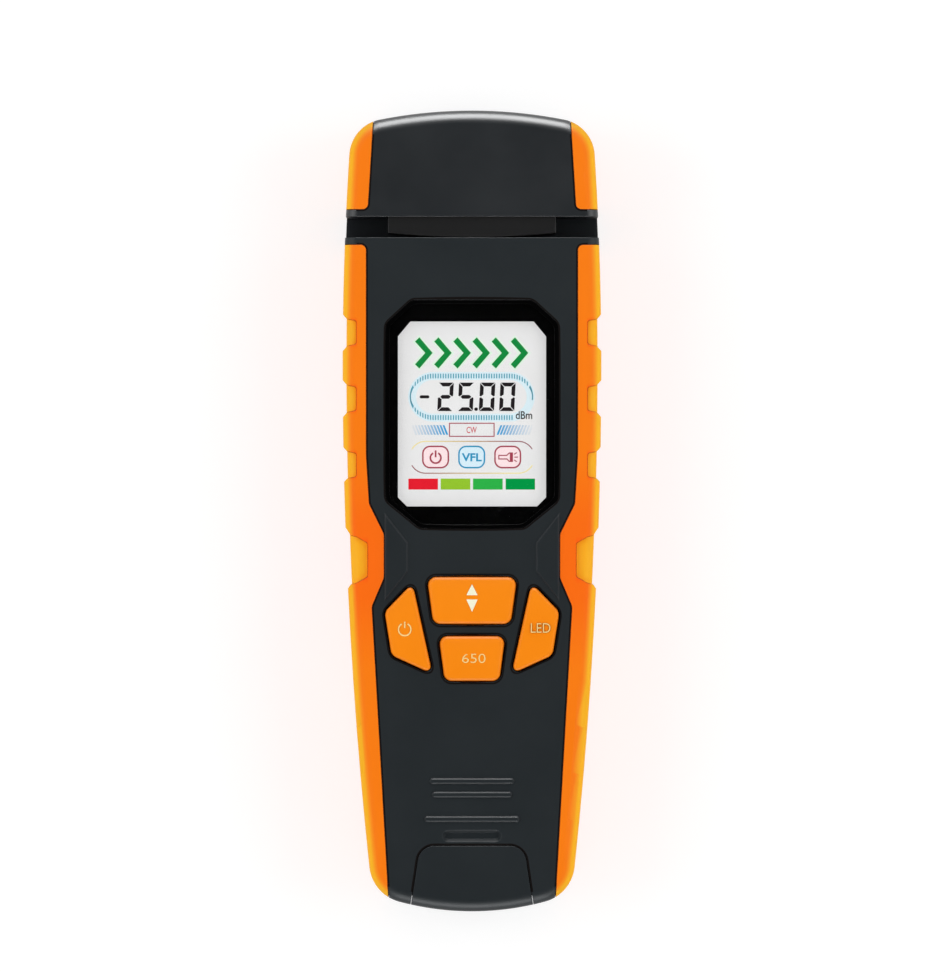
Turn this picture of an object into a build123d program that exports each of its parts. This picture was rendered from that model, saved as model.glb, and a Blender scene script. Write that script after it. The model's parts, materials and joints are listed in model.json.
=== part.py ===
"""Handheld fibre optic identifier, lying on its back.

X is the width, +Y runs towards the head and +Z comes out of the front face.
Z is zero on the back and the origin is under the middle of the body. Sizes are in millimetres.
"""

from build123d import *
from math import hypot, sqrt
import os

os.makedirs("parts", exist_ok=True)

# Outline of the body, seen from the front
length = 190.0
widest_half_width = 30.7
widest_to_head = 60.0
upper_side_radius = 780.0
lower_side_radius = 1130.0
head_end_radius = 113.0
tail_end_radius = 66.4
head_corner_radius = 9.0
tail_corner_radius = 9.5

# Section of the body
thickness = 34.0
front_edge_radius = 3.0
rear_edge_radius = 6.0
wall = 3.4
part_line_z = 17.0
lip_depth = 1.3
lip_wall = 0.6

# General clearances
seam = 0.15
slide_gap = 0.3
pin_gap = 0.05

# Fibre slot across the head
slot_to_head = 30.2
slot_width = 5.0
slot_depth = 20.0
slot_floor_thickness = 2.4
bulkhead = 2.6

# Rubber grips, with their widths measured in from the widest part of the body
grip_depth = 2.0
grip_corner_radius = 1.3
grip_bend_radii = (20.0, 2.0, 2.5, 2.5, 3.0)
grip_to_slot = 1.7
body_grip_width = 5.6
grip_shoulder_above_waist = 24.4
grip_step_width = 6.3
grip_step_above_waist = 12.6
grip_neck_width = 9.85
grip_neck_above_waist = 5.4
grip_neck_below_waist = 4.9
grip_lower_width = 6.95
grip_lower_below_waist = 11.7
grip_tail_width = 11.4
head_grip_low_width = 6.0
head_grip_top_width = 7.8

# Finger hollows in the grips, each as (distance in from the widest part, half height)
flute_outline = ((3.3, 2.8), (1.1, 3.2), (-2.0, 6.6))
flute_depth = 0.9
flute_pitch = 15.7
flute_to_slot = 22.5
flute_count = 3
flute_corner_radius = 0.6
waist_flute_outline = ((6.0, 4.0), (3.3, 5.5), (1.95, 5.8), (-1.05, 10.3))
waist_flute_depth = 1.0
waist_flute_below_waist = 0.7

# Raised cheeks beside the waist
cheek_rise = 0.35
cheek_width = 5.65
cheek_inner_height = 6.8
cheek_outer_height = 20.8

# Display window and what is behind it
window_to_slot = 14.7
window_to_side = 10.2
window_height = 54.2
window_top_cut = (6.2, 5.7)
window_bottom_cut = (8.1, 6.6)
window_bulge = 0.3
window_corner_radius = 2.8
window_thickness = 1.2
window_ledge = 1.2
display_side_margin = 1.8
display_top_margin = 3.1
display_bottom_margin = 3.3
display_thickness = 1.7
display_skin = 0.8
display_gap = 0.1
display_frame_rim = 1.5
display_frame_height = 4.0
display_foot = 3.0

# Keys, drawn for a keypad of the half width given here
keypad_drawn_half_width = 20.7
keypad_to_side = 10.0
keypad_to_window = 11.5
waist_to_window = 6.8
key_gap = 0.4
key_flange = 0.8
key_flange_thickness = 1.0
key_flange_play = 0.2
key_proud = 1.0
key_dome_radius = 0.9
key_travel = 0.8
key_stem_height = 0.3
key_row_gap = 2.8
scroll_height = 11.2
scroll_top_half_width = 10.7
scroll_bottom_half_width = 9.2
scroll_radius = 2.0
scroll_arch = 0.35
scroll_flange_play = 0.6
scroll_stem_spacing = 6.8
laser_height = 10.7
laser_top_half_width = 7.9
laser_bottom_half_width = 6.5
laser_radius = 1.9
side_key_top = (14.1, -1.46)
side_key_bottom = (9.36, -23.0)
side_key_low = (19.07, -18.6)
side_key_high = (20.7, -8.3)
side_key_sharp_radius = 1.2
side_key_soft_radius = 2.2
side_key_stem = (16.0, -12.8)

# Key switches
switch_size = 6.0
switch_height = 3.5
plunger_radius = 1.6
plunger_gap = 0.4
plunger_reach = 1.0
plunger_proud = 1.0

# Main board
board_thickness = 1.6
board_to_sensor = 1.2
board_to_module = 1.0
board_edge_gap = 0.8
board_corner_radius = 2.0
board_post_radius = 2.6
board_post_to_frame = 0.4
board_post_to_top = 3.4
board_post_to_bottom = 2.6
board_low_post_to_side = 8.0
board_screw_radius = 0.9
board_screw_length = 6.0
board_screw_head_radius = 1.8
board_screw_head_height = 1.3
chip_size = 14.0
chip_height = 1.4
chip_chamfer = 0.35
chip_to_window_top = 28.1
connector_width = 18.0
connector_length = 3.6
connector_height = 2.0
connector_chamfer = 0.5
connector_to_window = 3.4
buzzer_radius = 4.5
buzzer_height = 1.9
buzzer_hole_radius = 0.9
buzzer_hole_depth = 0.6
buzzer_to_board_bottom = 15.0

# Case screws
screw_radius = 1.1
screw_gap = 0.25
screw_head_radius = 2.1
screw_head_height = 1.6
screw_recess_radius = 2.5
screw_seat_z = 3.0
screw_length = 19.0
screw_socket_width = 1.9
screw_socket_depth = 0.9
boss_radius = 2.6
high_screw_to_side = 9.4
high_screw_to_slot = 7.8
low_screw_to_side = 13.5
low_screw_below_waist = 1.7
head_screw_to_side = 10.2
head_screw_to_head = 9.5

# Ribs and thumb scoop on the front, each rib with its distance from the flap and its length
rib_width = 1.3
rib_rise = 0.45
top_rib = (15.4, 20.0)
middle_rib = (12.2, 19.0)
bottom_rib = (6.4, 22.6)
scoop_to_flap = 2.4
scoop_length = 14.0
scoop_width = 2.8
scoop_depth = 0.8
scoop_taper = 40.0

# Sensor block in the lower lip of the slot
sensor_to_side = 12.7
sensor_roof_gap = 0.6
sensor_depth = 8.6
sensor_groove = 1.0
fibre_height = 8.5
diode_radius = 2.35
diode_length = 4.8
diode_flange_radius = 2.8
diode_flange = 0.6
diode_spacing = 18.0
diode_window_radius = 0.8
lead_radius = 0.3
lead_length = 1.2
lead_spacing = 2.5
sensor_board_thickness = 1.2
sensor_board_margin = 1.0

# Clamp
jaw_to_side = 10.8
jaw_gap = 0.2
jaw_depth = 9.8
jaw_floor_gap = 0.6
jaw_face_radius = 200.0
jaw_wall = 2.2
jaw_travel = 5.0
jaw_pad_thickness = 0.8
jaw_pad_side_margin = 4.9
jaw_pad_height = 4.0
carrier_side_margin = 3.9
carrier_thickness = 2.0
carrier_bottom_z = 8.0
carrier_top_margin = 1.3
arm_half_width = 3.0
arm_length = 4.6
cover_thickness = 1.0
cover_half_width = 5.2
cover_overlap = 3.8
carrier_screw_margin = 2.0
carrier_screw_radius = 0.9
carrier_screw_head_radius = 1.6
carrier_screw_head_height = 1.0
carrier_screw_length = 7.0
thumb_half_width = 7.5
thumb_length = 10.0
thumb_corner_radius = 2.2
thumb_sink = 0.3
thumb_thickness = 1.7
thumb_groove = 0.8
thumb_groove_count = 4
dish_half_width = 9.0
dish_depth = 2.2
dish_corner_radius = 3.0
spring_radius = 3.0
spring_wire = 0.35
spring_turns = 6
spring_margin = 6.0
spring_below_fibre = 2.5
spring_seat_to_head = 6.5
spring_seat_thickness = 1.6
spring_seat_half_width = 3.8
spring_peg_radius = 1.9
spring_peg_length = 5.5

# Port bay and flap at the tail
flap_length = 15.6
flap_top_to_side = 18.4
flap_end_to_side = 15.2
flap_corner_radius = 3.8
flap_thickness = 2.0
flap_gap = 0.2
flap_ledge = 1.2
hinge_to_tail = 4.8
hinge_z = 5.0
knuckle_radius = 3.0
knuckle_margin = 0.3
hinge_pin_radius = 1.0
bay_to_side = 14.9
bay_cheek = 1.8
port_plate_to_tail = 13.0
port_plate_thickness = 2.0
port_to_front = 14.0
port_x = -6.0
port_length = 9.0
port_radius = 3.2
port_chamfer = 0.4
port_collar_radius = 4.4
port_collar = 1.2
ferrule_radius = 1.26
ferrule_depth = 8.0
module_width = 9.0
module_depth = 4.0
module_height = 9.0
module_chamfer = 1.2
lamp_x = 6.3
lamp_radius = 2.9
lamp_bezel_radius = 4.2
lamp_length = 2.4
lamp_dome_radius = 2.16
led_size = 5.0
led_depth = 2.5

# Battery bay and its door on the back
bay_wall = 1.4
cells_to_side = 13.95
cell_length = 44.5
cell_nub_radius = 1.9
cell_nub_length = 0.8
cell_gap = 0.4
cell_count = 3
contact_room = 2.75
contact_thickness = 0.4
contact_side_gap = 2.9
leaf_top = 0.8
leaf_foot = -0.6
leaf_tip = -0.1
leaf_return = 0.5
door_overlap = 3.0
door_side_overlap = 1.05
door_thickness = 2.0
door_pivot_to_tail = 16.5
door_pivot_to_bay = 4.2
door_corner_radius = 1.3
door_pin_radius = 0.7
door_pin_length = 1.4
latch_half_width = 4.5
latch_thickness = 1.0
latch_height = 3.0
latch_inset = 1.0
door_notch_radius = 5.0
door_notch_depth = 1.2

# How far a cut runs past what it cuts, and how far joined shapes run into each other
beyond = 6.0
weld = 0.2

# Places along the body, worked out from the sizes above
half_length = length / 2
widest_y = half_length - widest_to_head
slot_bottom_y = half_length - slot_to_head
slot_top_y = slot_bottom_y + slot_width
body_grip_top_y = slot_bottom_y - grip_to_slot
head_grip_bottom_y = slot_top_y + grip_to_slot
window_top_y = slot_bottom_y - window_to_slot
window_bottom_y = window_top_y - window_height
display_height = window_height - display_top_margin - display_bottom_margin
display_y = window_top_y - display_top_margin - display_height / 2
waist_y = window_bottom_y - waist_to_window
scroll_top_y = window_bottom_y - keypad_to_window
scroll_bottom_y = scroll_top_y - scroll_height
scroll_y = (scroll_top_y + scroll_bottom_y) / 2
laser_top_y = scroll_bottom_y - key_row_gap
laser_bottom_y = laser_top_y - laser_height
laser_y = (laser_top_y + laser_bottom_y) / 2
flap_top_y = -half_length + flap_length
hinge_y = -half_length + hinge_to_tail
port_plate_y = -half_length + port_plate_to_tail
plate_back_y = port_plate_y + port_plate_thickness
door_pivot_y = -half_length + door_pivot_to_tail
door_bottom_y = door_pivot_y - door_thickness / 2
bay_bottom_y = door_pivot_y + door_pivot_to_bay
bay_top_y = bay_bottom_y + cell_length + 2 * contact_room
cell_middle_y = (bay_bottom_y + bay_top_y) / 2
door_top_y = bay_top_y + door_overlap
latch_y = door_top_y - latch_inset - latch_thickness
sensor_back_y = slot_bottom_y - sensor_depth
sensor_board_y = sensor_back_y - diode_flange - lead_length
board_top_y = sensor_board_y - sensor_board_thickness - board_to_sensor
board_bottom_y = plate_back_y + module_depth + board_to_module
chip_y = window_top_y - chip_to_window_top
connector_y = window_bottom_y - connector_to_window
buzzer_y = board_bottom_y + buzzer_to_board_bottom
jaw_face_y = slot_bottom_y + jaw_gap
carrier_y = jaw_face_y + jaw_depth
spring_low_y = carrier_y + carrier_thickness
spring_seat_y = half_length - spring_seat_to_head
thumb_y = carrier_y + arm_length / 2
dish_length = thumb_length + jaw_travel + 2 * (dish_half_width - thumb_half_width)

# Places across the body
body_grip_half_width = widest_half_width - body_grip_width
grip_step_half_width = widest_half_width - grip_step_width
grip_neck_half_width = widest_half_width - grip_neck_width
grip_lower_half_width = widest_half_width - grip_lower_width
grip_tail_half_width = widest_half_width - grip_tail_width
head_grip_low_half_width = widest_half_width - head_grip_low_width
head_grip_top_half_width = widest_half_width - head_grip_top_width
window_half_width = widest_half_width - window_to_side
display_half_width = window_half_width - display_side_margin
frame_half_width = display_half_width + display_frame_rim
keypad_spread = (widest_half_width - keypad_to_side) / keypad_drawn_half_width
sensor_half_width = widest_half_width - sensor_to_side
jaw_half_width = widest_half_width - jaw_to_side
jaw_pad_half_width = jaw_half_width - jaw_pad_side_margin
carrier_half_width = jaw_half_width - carrier_side_margin
carrier_screw_x = carrier_half_width - carrier_screw_margin
spring_x = carrier_half_width - spring_margin
flap_top_half_width = widest_half_width - flap_top_to_side
flap_end_half_width = widest_half_width - flap_end_to_side
knuckle_half_width = flap_top_half_width - knuckle_margin
bay_half_width = widest_half_width - bay_to_side
cells_half_width = widest_half_width - cells_to_side
cell_pitch = 2 * (cells_half_width - cell_gap) / cell_count
cell_radius = (cell_pitch - cell_gap) / 2
contact_width = cell_pitch - contact_side_gap
door_half_width = cells_half_width + door_side_overlap

# Heights above the back
front_inner_z = thickness - wall
slot_floor_z = thickness - slot_depth
window_seat_z = thickness - window_thickness
display_top_z = window_seat_z - display_skin - display_gap
display_bottom_z = display_top_z - display_thickness
push_flange_top_z = front_inner_z - key_flange_play
scroll_flange_top_z = front_inner_z - scroll_flange_play
stem_bottom_z = scroll_flange_top_z - key_flange_thickness - key_stem_height
switch_top_z = stem_bottom_z - plunger_proud
board_top_z = switch_top_z - switch_height
board_bottom_z = board_top_z - board_thickness
cell_z = door_thickness + cell_gap + cell_radius
bay_roof_z = cell_z + cell_radius + cell_gap
door_seat_z = door_thickness + seam
fibre_z = slot_floor_z + fibre_height
sensor_top_z = front_inner_z - sensor_roof_gap
jaw_bottom_z = slot_floor_z + jaw_floor_gap
jaw_top_z = front_inner_z - slide_gap
carrier_top_z = jaw_top_z - carrier_top_margin
carrier_screw_z = jaw_bottom_z + jaw_wall
spring_z = fibre_z - spring_below_fibre
thumb_top_z = thumb_sink + thumb_thickness
port_z = thickness - port_to_front

# Posts and screws, on the right half of the body
low_post_y = board_bottom_y + board_post_to_bottom
side_drop = lower_side_radius - sqrt(lower_side_radius**2 - (widest_y - low_post_y) ** 2)
board_post_places = [
    (frame_half_width + board_post_to_frame + board_post_radius, board_top_y - board_post_to_top),
    (widest_half_width - side_drop - board_low_post_to_side, low_post_y),
]
body_screw_places = [
    (widest_half_width - high_screw_to_side, slot_bottom_y - high_screw_to_slot),
    (widest_half_width - low_screw_to_side, waist_y - low_screw_below_waist),
]
head_screw_places = [(widest_half_width - head_screw_to_side, half_length - head_screw_to_head)]
case_screw_places = body_screw_places + head_screw_places


def on_both_sides(places):
    """Each place and its mirror image across the middle line."""
    return [(side * x, y) for x, y in places for side in (-1, 1)]


def finish(builder, name):
    """Name a finished piece and write it."""
    builder.part.label = name
    export_step(builder.part, f"parts/{name}.step")


def block_between(low, high):
    """A plain block from its low corner to its high corner."""
    with BuildPart() as block:
        with BuildSketch(Plane.XY.offset(low[2])):
            with Locations(((low[0] + high[0]) / 2, (low[1] + high[1]) / 2)):
                Rectangle(high[0] - low[0], high[1] - low[1])
        extrude(amount=high[2] - low[2])
    return block.part


def upright(sketch, low_z, high_z):
    """A sketch stood up from one height to another."""
    with BuildPart() as block:
        with BuildSketch(Plane.XY.offset(low_z)):
            add(sketch)
        extrude(amount=high_z - low_z)
    return block.part


def posts(places, radius, low_z, high_z):
    """Round posts, or the holes for them, from one height to another."""
    with BuildPart() as group:
        with BuildSketch(Plane.XY.offset(low_z)):
            with Locations(*places):
                Circle(radius)
        extrude(amount=high_z - low_z)
    return group.part


def rod_along_y(x, z, radius, low_y, high_y):
    """A round rod, or the hole for it, along Y."""
    with BuildPart() as rod:
        with BuildSketch(Plane.XZ.offset(-low_y)):
            with Locations((x, z)):
                Circle(radius)
        extrude(amount=-(high_y - low_y))
    return rod.part


def rod_along_x(y, z, radius, low_x, high_x):
    """A round rod, or the hole for it, along X."""
    with BuildPart() as rod:
        with BuildSketch(Plane.YZ.offset(low_x)):
            with Locations((y, z)):
                Circle(radius)
        extrude(amount=high_x - low_x)
    return rod.part


def corner_point(end_radius, end_sign, side_radius, inset):
    """Where an end arc and the right side arc cross, before the corner is rounded."""
    end_centre_y = end_sign * (half_length - end_radius)
    to_side_x = widest_half_width - side_radius
    to_side_y = widest_y - end_centre_y
    distance = hypot(to_side_x, to_side_y)
    end_reach = end_radius - inset
    side_reach = side_radius - inset
    along = (end_reach**2 - side_reach**2 + distance**2) / (2 * distance)
    across = end_sign * sqrt(end_reach**2 - along**2)
    x = (along * to_side_x + across * to_side_y) / distance
    y = end_centre_y + (along * to_side_y - across * to_side_x) / distance
    return (x, y)


def body_outline(inset):
    """The outline of the body seen from the front, drawn in by the inset."""
    head = corner_point(head_end_radius, 1, upper_side_radius, inset)
    tail = corner_point(tail_end_radius, -1, lower_side_radius, inset)
    side = (widest_half_width - inset, widest_y)
    with BuildSketch() as outline:
        with BuildLine():
            ThreePointArc((-head[0], head[1]), (0, half_length - inset), head)
            RadiusArc(head, side, upper_side_radius - inset)
            RadiusArc(side, tail, lower_side_radius - inset)
            ThreePointArc(tail, (0, inset - half_length), (-tail[0], tail[1]))
            RadiusArc((-tail[0], tail[1]), (-side[0], side[1]), lower_side_radius - inset)
            RadiusArc((-side[0], side[1]), (-head[0], head[1]), upper_side_radius - inset)
        make_face()
        fillet(outline.vertices().group_by(Axis.Y)[0], tail_corner_radius - inset)
        fillet(outline.vertices().group_by(Axis.Y)[-1], head_corner_radius - inset)
    return outline.sketch


def envelope(inset):
    """The rounded body drawn in by the inset on every side."""
    with BuildPart() as block:
        with BuildSketch(Plane.XY.offset(inset)):
            add(body_outline(inset))
        extrude(amount=thickness - 2 * inset)
        if rear_edge_radius > inset:
            fillet(block.faces().sort_by(Axis.Z)[0].edges(), rear_edge_radius - inset)
        if front_edge_radius > inset:
            fillet(block.faces().sort_by(Axis.Z)[-1].edges(), front_edge_radius - inset)
    return block.part


def skin(depth, area, low_z=-beyond, high_z=thickness + beyond):
    """The outer skin of the body, to a depth, inside an area seen from the front."""
    with BuildPart() as piece:
        add(envelope(0))
        add(upright(area, low_z, high_z), mode=Mode.INTERSECT)
        add(envelope(depth), mode=Mode.SUBTRACT)
    return piece.part


def body_grip_area(margin):
    """The right body grip seen from the front, grown by the margin."""
    outside = widest_half_width + beyond
    tail = -half_length - beyond
    with BuildSketch() as area:
        with BuildLine():
            FilletPolyline(
                (outside, body_grip_top_y),
                (body_grip_half_width, body_grip_top_y),
                (body_grip_half_width, waist_y + grip_shoulder_above_waist),
                (grip_step_half_width, waist_y + grip_step_above_waist),
                (grip_neck_half_width, waist_y + grip_neck_above_waist),
                (grip_neck_half_width, waist_y - grip_neck_below_waist),
                (grip_lower_half_width, waist_y - grip_lower_below_waist),
                (grip_tail_half_width, tail),
                radius=[grip_corner_radius, *grip_bend_radii],
            )
            Polyline((grip_tail_half_width, tail), (outside, tail), (outside, body_grip_top_y))
        make_face()
        if margin > 0:
            offset(amount=margin, kind=Kind.INTERSECTION)
    return area.sketch


def head_grip_area(margin):
    """The right head grip seen from the front, grown by the margin."""
    outside = widest_half_width + beyond
    top = half_length + beyond
    with BuildSketch() as area:
        with BuildLine():
            FilletPolyline(
                (head_grip_top_half_width, top),
                (head_grip_low_half_width, head_grip_bottom_y),
                (outside, head_grip_bottom_y),
                radius=grip_corner_radius,
            )
            Polyline((outside, head_grip_bottom_y), (outside, top), (head_grip_top_half_width, top))
        make_face()
        if margin > 0:
            offset(amount=margin, kind=Kind.INTERSECTION)
    return area.sketch


def flap_area(margin):
    """The port flap seen from the front, grown by the margin."""
    tail = -half_length - beyond
    with BuildSketch() as area:
        with BuildLine():
            Polyline(
                (-flap_end_half_width, tail),
                (-flap_top_half_width, flap_top_y),
                (flap_top_half_width, flap_top_y),
                (flap_end_half_width, tail),
                close=True,
            )
        make_face()
        fillet(area.vertices().group_by(Axis.Y)[-1], flap_corner_radius)
        if margin != 0:
            offset(amount=margin, kind=Kind.INTERSECTION)
    return area.sketch


def window_area(margin):
    """The display window seen from the front, grown by the margin."""
    bottom_y = window_bottom_y
    half = window_half_width
    top_x = half - window_top_cut[0]
    top_side_y = window_top_y - window_top_cut[1]
    bottom_x = half - window_bottom_cut[0]
    bottom_side_y = bottom_y + window_bottom_cut[1]
    middle_y = (top_side_y + bottom_side_y) / 2
    with BuildSketch() as area:
        with BuildLine():
            Line((-top_x, window_top_y), (top_x, window_top_y))
            Line((top_x, window_top_y), (half, top_side_y))
            ThreePointArc((half, top_side_y), (half + window_bulge, middle_y), (half, bottom_side_y))
            Line((half, bottom_side_y), (bottom_x, bottom_y))
            ThreePointArc((bottom_x, bottom_y), (0, bottom_y - window_bulge), (-bottom_x, bottom_y))
            Line((-bottom_x, bottom_y), (-half, bottom_side_y))
            ThreePointArc((-half, bottom_side_y), (-half - window_bulge, middle_y), (-half, top_side_y))
            Line((-half, top_side_y), (-top_x, window_top_y))
        make_face()
        fillet(area.vertices(), window_corner_radius)
        if margin != 0:
            offset(amount=margin, kind=Kind.INTERSECTION)
    return area.sketch


def tapered_key_area(top_y, bottom_y, top_half_width, bottom_half_width, radius, margin):
    """A key in the middle, narrower at the bottom, with arched top and bottom edges."""
    top_x = top_half_width * keypad_spread
    bottom_x = bottom_half_width * keypad_spread
    top_side_y = top_y - scroll_arch
    bottom_side_y = bottom_y + scroll_arch
    with BuildSketch() as area:
        with BuildLine():
            ThreePointArc((-top_x, top_side_y), (0, top_y), (top_x, top_side_y))
            Line((top_x, top_side_y), (bottom_x, bottom_side_y))
            ThreePointArc((bottom_x, bottom_side_y), (0, bottom_y), (-bottom_x, bottom_side_y))
            Line((-bottom_x, bottom_side_y), (-top_x, top_side_y))
        make_face()
        fillet(area.vertices(), radius)
        if margin > 0:
            offset(amount=margin, kind=Kind.INTERSECTION)
    return area.sketch


def scroll_area(margin):
    """The scroll key seen from the front, grown by the margin."""
    return tapered_key_area(
        scroll_top_y, scroll_bottom_y, scroll_top_half_width, scroll_bottom_half_width,
        scroll_radius, margin,
    )


def laser_area(margin):
    """The laser key seen from the front, grown by the margin."""
    return tapered_key_area(
        laser_top_y, laser_bottom_y, laser_top_half_width, laser_bottom_half_width,
        laser_radius, margin,
    )


def key_place(side, place):
    """A place on the right side key, or mirrored for the left one."""
    return (side * place[0] * keypad_spread, scroll_top_y + place[1])


def side_key_area(side, margin):
    """The power or lamp key seen from the front, grown by the margin."""
    corners = [side_key_top, side_key_bottom, side_key_low, side_key_high]
    with BuildSketch() as area:
        with BuildLine():
            Polyline([key_place(side, corner) for corner in corners], close=True)
        make_face()
        by_distance = area.vertices().sort_by(lambda corner: abs(corner.X))
        fillet(by_distance[2:], side_key_soft_radius)
        fillet(area.vertices().sort_by(Axis.Y)[0], side_key_sharp_radius)
        fillet(area.vertices().sort_by(Axis.Y)[-1], side_key_sharp_radius)
        if margin > 0:
            offset(amount=margin, kind=Kind.INTERSECTION)
    return area.sketch


def lamp_area(margin):
    """The lamp key seen from the front, grown by the margin."""
    return side_key_area(1, margin)


def power_area(margin):
    """The power key seen from the front, grown by the margin."""
    return side_key_area(-1, margin)


def key_cap(area, flange_top_z, stem_places):
    """A key with a soft edge on top, a flange under the front wall and its stems."""
    with BuildPart() as key:
        with BuildSketch(Plane.XY.offset(flange_top_z)):
            add(area(0))
        extrude(amount=thickness + key_proud - flange_top_z)
        fillet(key.faces().sort_by(Axis.Z)[-1].edges(), key_dome_radius)
        add(upright(area(key_flange), flange_top_z - key_flange_thickness, flange_top_z))
        add(posts(stem_places, plunger_radius, stem_bottom_z, flange_top_z))
    return key.part


def grip_with_hollows(area, hollows):
    """The right grip: the skin of the body inside an area, with its finger hollows."""
    with BuildPart() as grip:
        add(skin(grip_depth - seam, area))
        for hollow in hollows:
            add(hollow, mode=Mode.SUBTRACT)
    return grip.part


def finger_hollow(outline, middle_y, depth):
    """A shallow hollow with sloping ends round the side of the body."""
    upper = [(widest_half_width - inward, middle_y + half_height) for inward, half_height in outline]
    lower = [(x, 2 * middle_y - y) for x, y in reversed(upper)]
    with BuildSketch() as area:
        with BuildLine():
            Polyline([*upper, *lower], close=True)
        make_face()
        fillet(area.vertices(), flute_corner_radius)
    return skin(depth, area.sketch)


# Grips
flute_rows = [slot_bottom_y - flute_to_slot - flute_pitch * row for row in range(flute_count)]
grip_hollows = [finger_hollow(flute_outline, row_y, flute_depth) for row_y in flute_rows]
waist_hollow_y = waist_y - waist_flute_below_waist
grip_hollows.append(finger_hollow(waist_flute_outline, waist_hollow_y, waist_flute_depth))

with BuildPart() as body_grip_right:
    add(grip_with_hollows(body_grip_area(0), grip_hollows))
finish(body_grip_right, "body_grip_right")

with BuildPart() as body_grip_left:
    mirror(body_grip_right.part, about=Plane.YZ)
finish(body_grip_left, "body_grip_left")

with BuildPart() as head_grip_right:
    add(skin(grip_depth - seam, head_grip_area(0)))
finish(head_grip_right, "head_grip_right")

with BuildPart() as head_grip_left:
    mirror(head_grip_right.part, about=Plane.YZ)
finish(head_grip_left, "head_grip_left")


# Hollow body that the three case mouldings are cut from
slot_cut = block_between(
    (-widest_half_width - beyond, slot_bottom_y, slot_floor_z),
    (widest_half_width + beyond, slot_top_y, thickness + beyond),
)

with BuildPart() as case_blank:
    add(envelope(0))
    for grip_area in (body_grip_area, head_grip_area):
        grip_bed = skin(grip_depth, grip_area(seam))
        add(grip_bed, mode=Mode.SUBTRACT)
        mirror(grip_bed, about=Plane.YZ, mode=Mode.SUBTRACT)
    add(envelope(wall), mode=Mode.SUBTRACT)


def case_piece(low_y, high_y, low_z, high_z):
    """The stretch of the hollow body between two heights and two places along it."""
    with BuildPart() as piece:
        add(case_blank.part)
        add(
            block_between(
                (-widest_half_width - beyond, low_y, low_z),
                (widest_half_width + beyond, high_y, high_z),
            ),
            mode=Mode.INTERSECT,
        )
    return piece.part


def wall_ring(outer_inset, low_y, high_y, low_z):
    """A thin ring inside the wall at the part line, for the lip or the step that takes it."""
    with BuildPart() as ring:
        add(envelope(outer_inset))
        add(envelope(wall), mode=Mode.SUBTRACT)
        add(
            block_between(
                (-widest_half_width - beyond, low_y, low_z),
                (widest_half_width + beyond, high_y, part_line_z + weld),
            ),
            mode=Mode.INTERSECT,
        )
    return ring.part


def full_width_wall(low_y, high_y, low_z, high_z):
    """A block that reaches from side to side, before it is trimmed to the inside of the wall."""
    return block_between((-widest_half_width, low_y, low_z), (widest_half_width, high_y, high_z))


tail_y = -half_length - beyond
head_y = half_length + beyond
lip_step_z = part_line_z - lip_depth - seam
bay_cheek_blocks = [
    ((bay_half_width, -half_length), (bay_half_width + bay_cheek, plate_back_y)),
    ((-bay_half_width - bay_cheek, -half_length), (-bay_half_width, plate_back_y)),
]
jaw_window = block_between(
    (-jaw_half_width - slide_gap, slot_top_y - weld, slot_floor_z),
    (jaw_half_width + slide_gap, slot_top_y + bulkhead + weld, front_inner_z),
)
sensor_window = block_between(
    (-sensor_half_width - seam, slot_bottom_y - bulkhead - weld, slot_floor_z),
    (sensor_half_width + seam, slot_bottom_y + weld, sensor_top_z + seam),
)


# Rear shell, full length
with BuildPart() as rear_inside:
    slot_floor_bottom_z = slot_floor_z - slot_floor_thickness
    add(full_width_wall(sensor_back_y, slot_top_y + bulkhead, slot_floor_bottom_z, slot_floor_z))
    add(full_width_wall(slot_bottom_y - bulkhead, slot_bottom_y, slot_floor_z - weld, part_line_z))
    add(full_width_wall(slot_top_y, slot_top_y + bulkhead, slot_floor_z - weld, part_line_z))
    add(posts(on_both_sides(case_screw_places), boss_radius, wall - weld, part_line_z))
    add(
        block_between(
            (-cells_half_width - bay_wall, bay_bottom_y - bay_wall, wall - weld),
            (cells_half_width + bay_wall, bay_top_y + bay_wall, bay_roof_z + bay_wall),
        )
    )
    for low, high in bay_cheek_blocks:
        add(block_between((*low, wall - weld), (*high, part_line_z)))
    for side in (-1, 1):
        add(
            block_between(
                (side * spring_x - spring_seat_half_width, spring_seat_y, wall - weld),
                (
                    side * spring_x + spring_seat_half_width,
                    spring_seat_y + spring_seat_thickness,
                    spring_z + spring_radius + wall,
                ),
            )
        )
    add(envelope(wall - weld), mode=Mode.INTERSECT)

with BuildPart() as flap_sweep:
    add(
        block_between(
            (-bay_half_width, tail_y, -beyond),
            (bay_half_width, hinge_y + slide_gap, hinge_z),
        )
    )
    add(rod_along_x(hinge_y, hinge_z, knuckle_radius + slide_gap, -bay_half_width, bay_half_width))
    add(
        block_between(
            (-bay_half_width, tail_y, hinge_z - weld),
            (bay_half_width, hinge_y, thickness),
        )
    )

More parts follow.
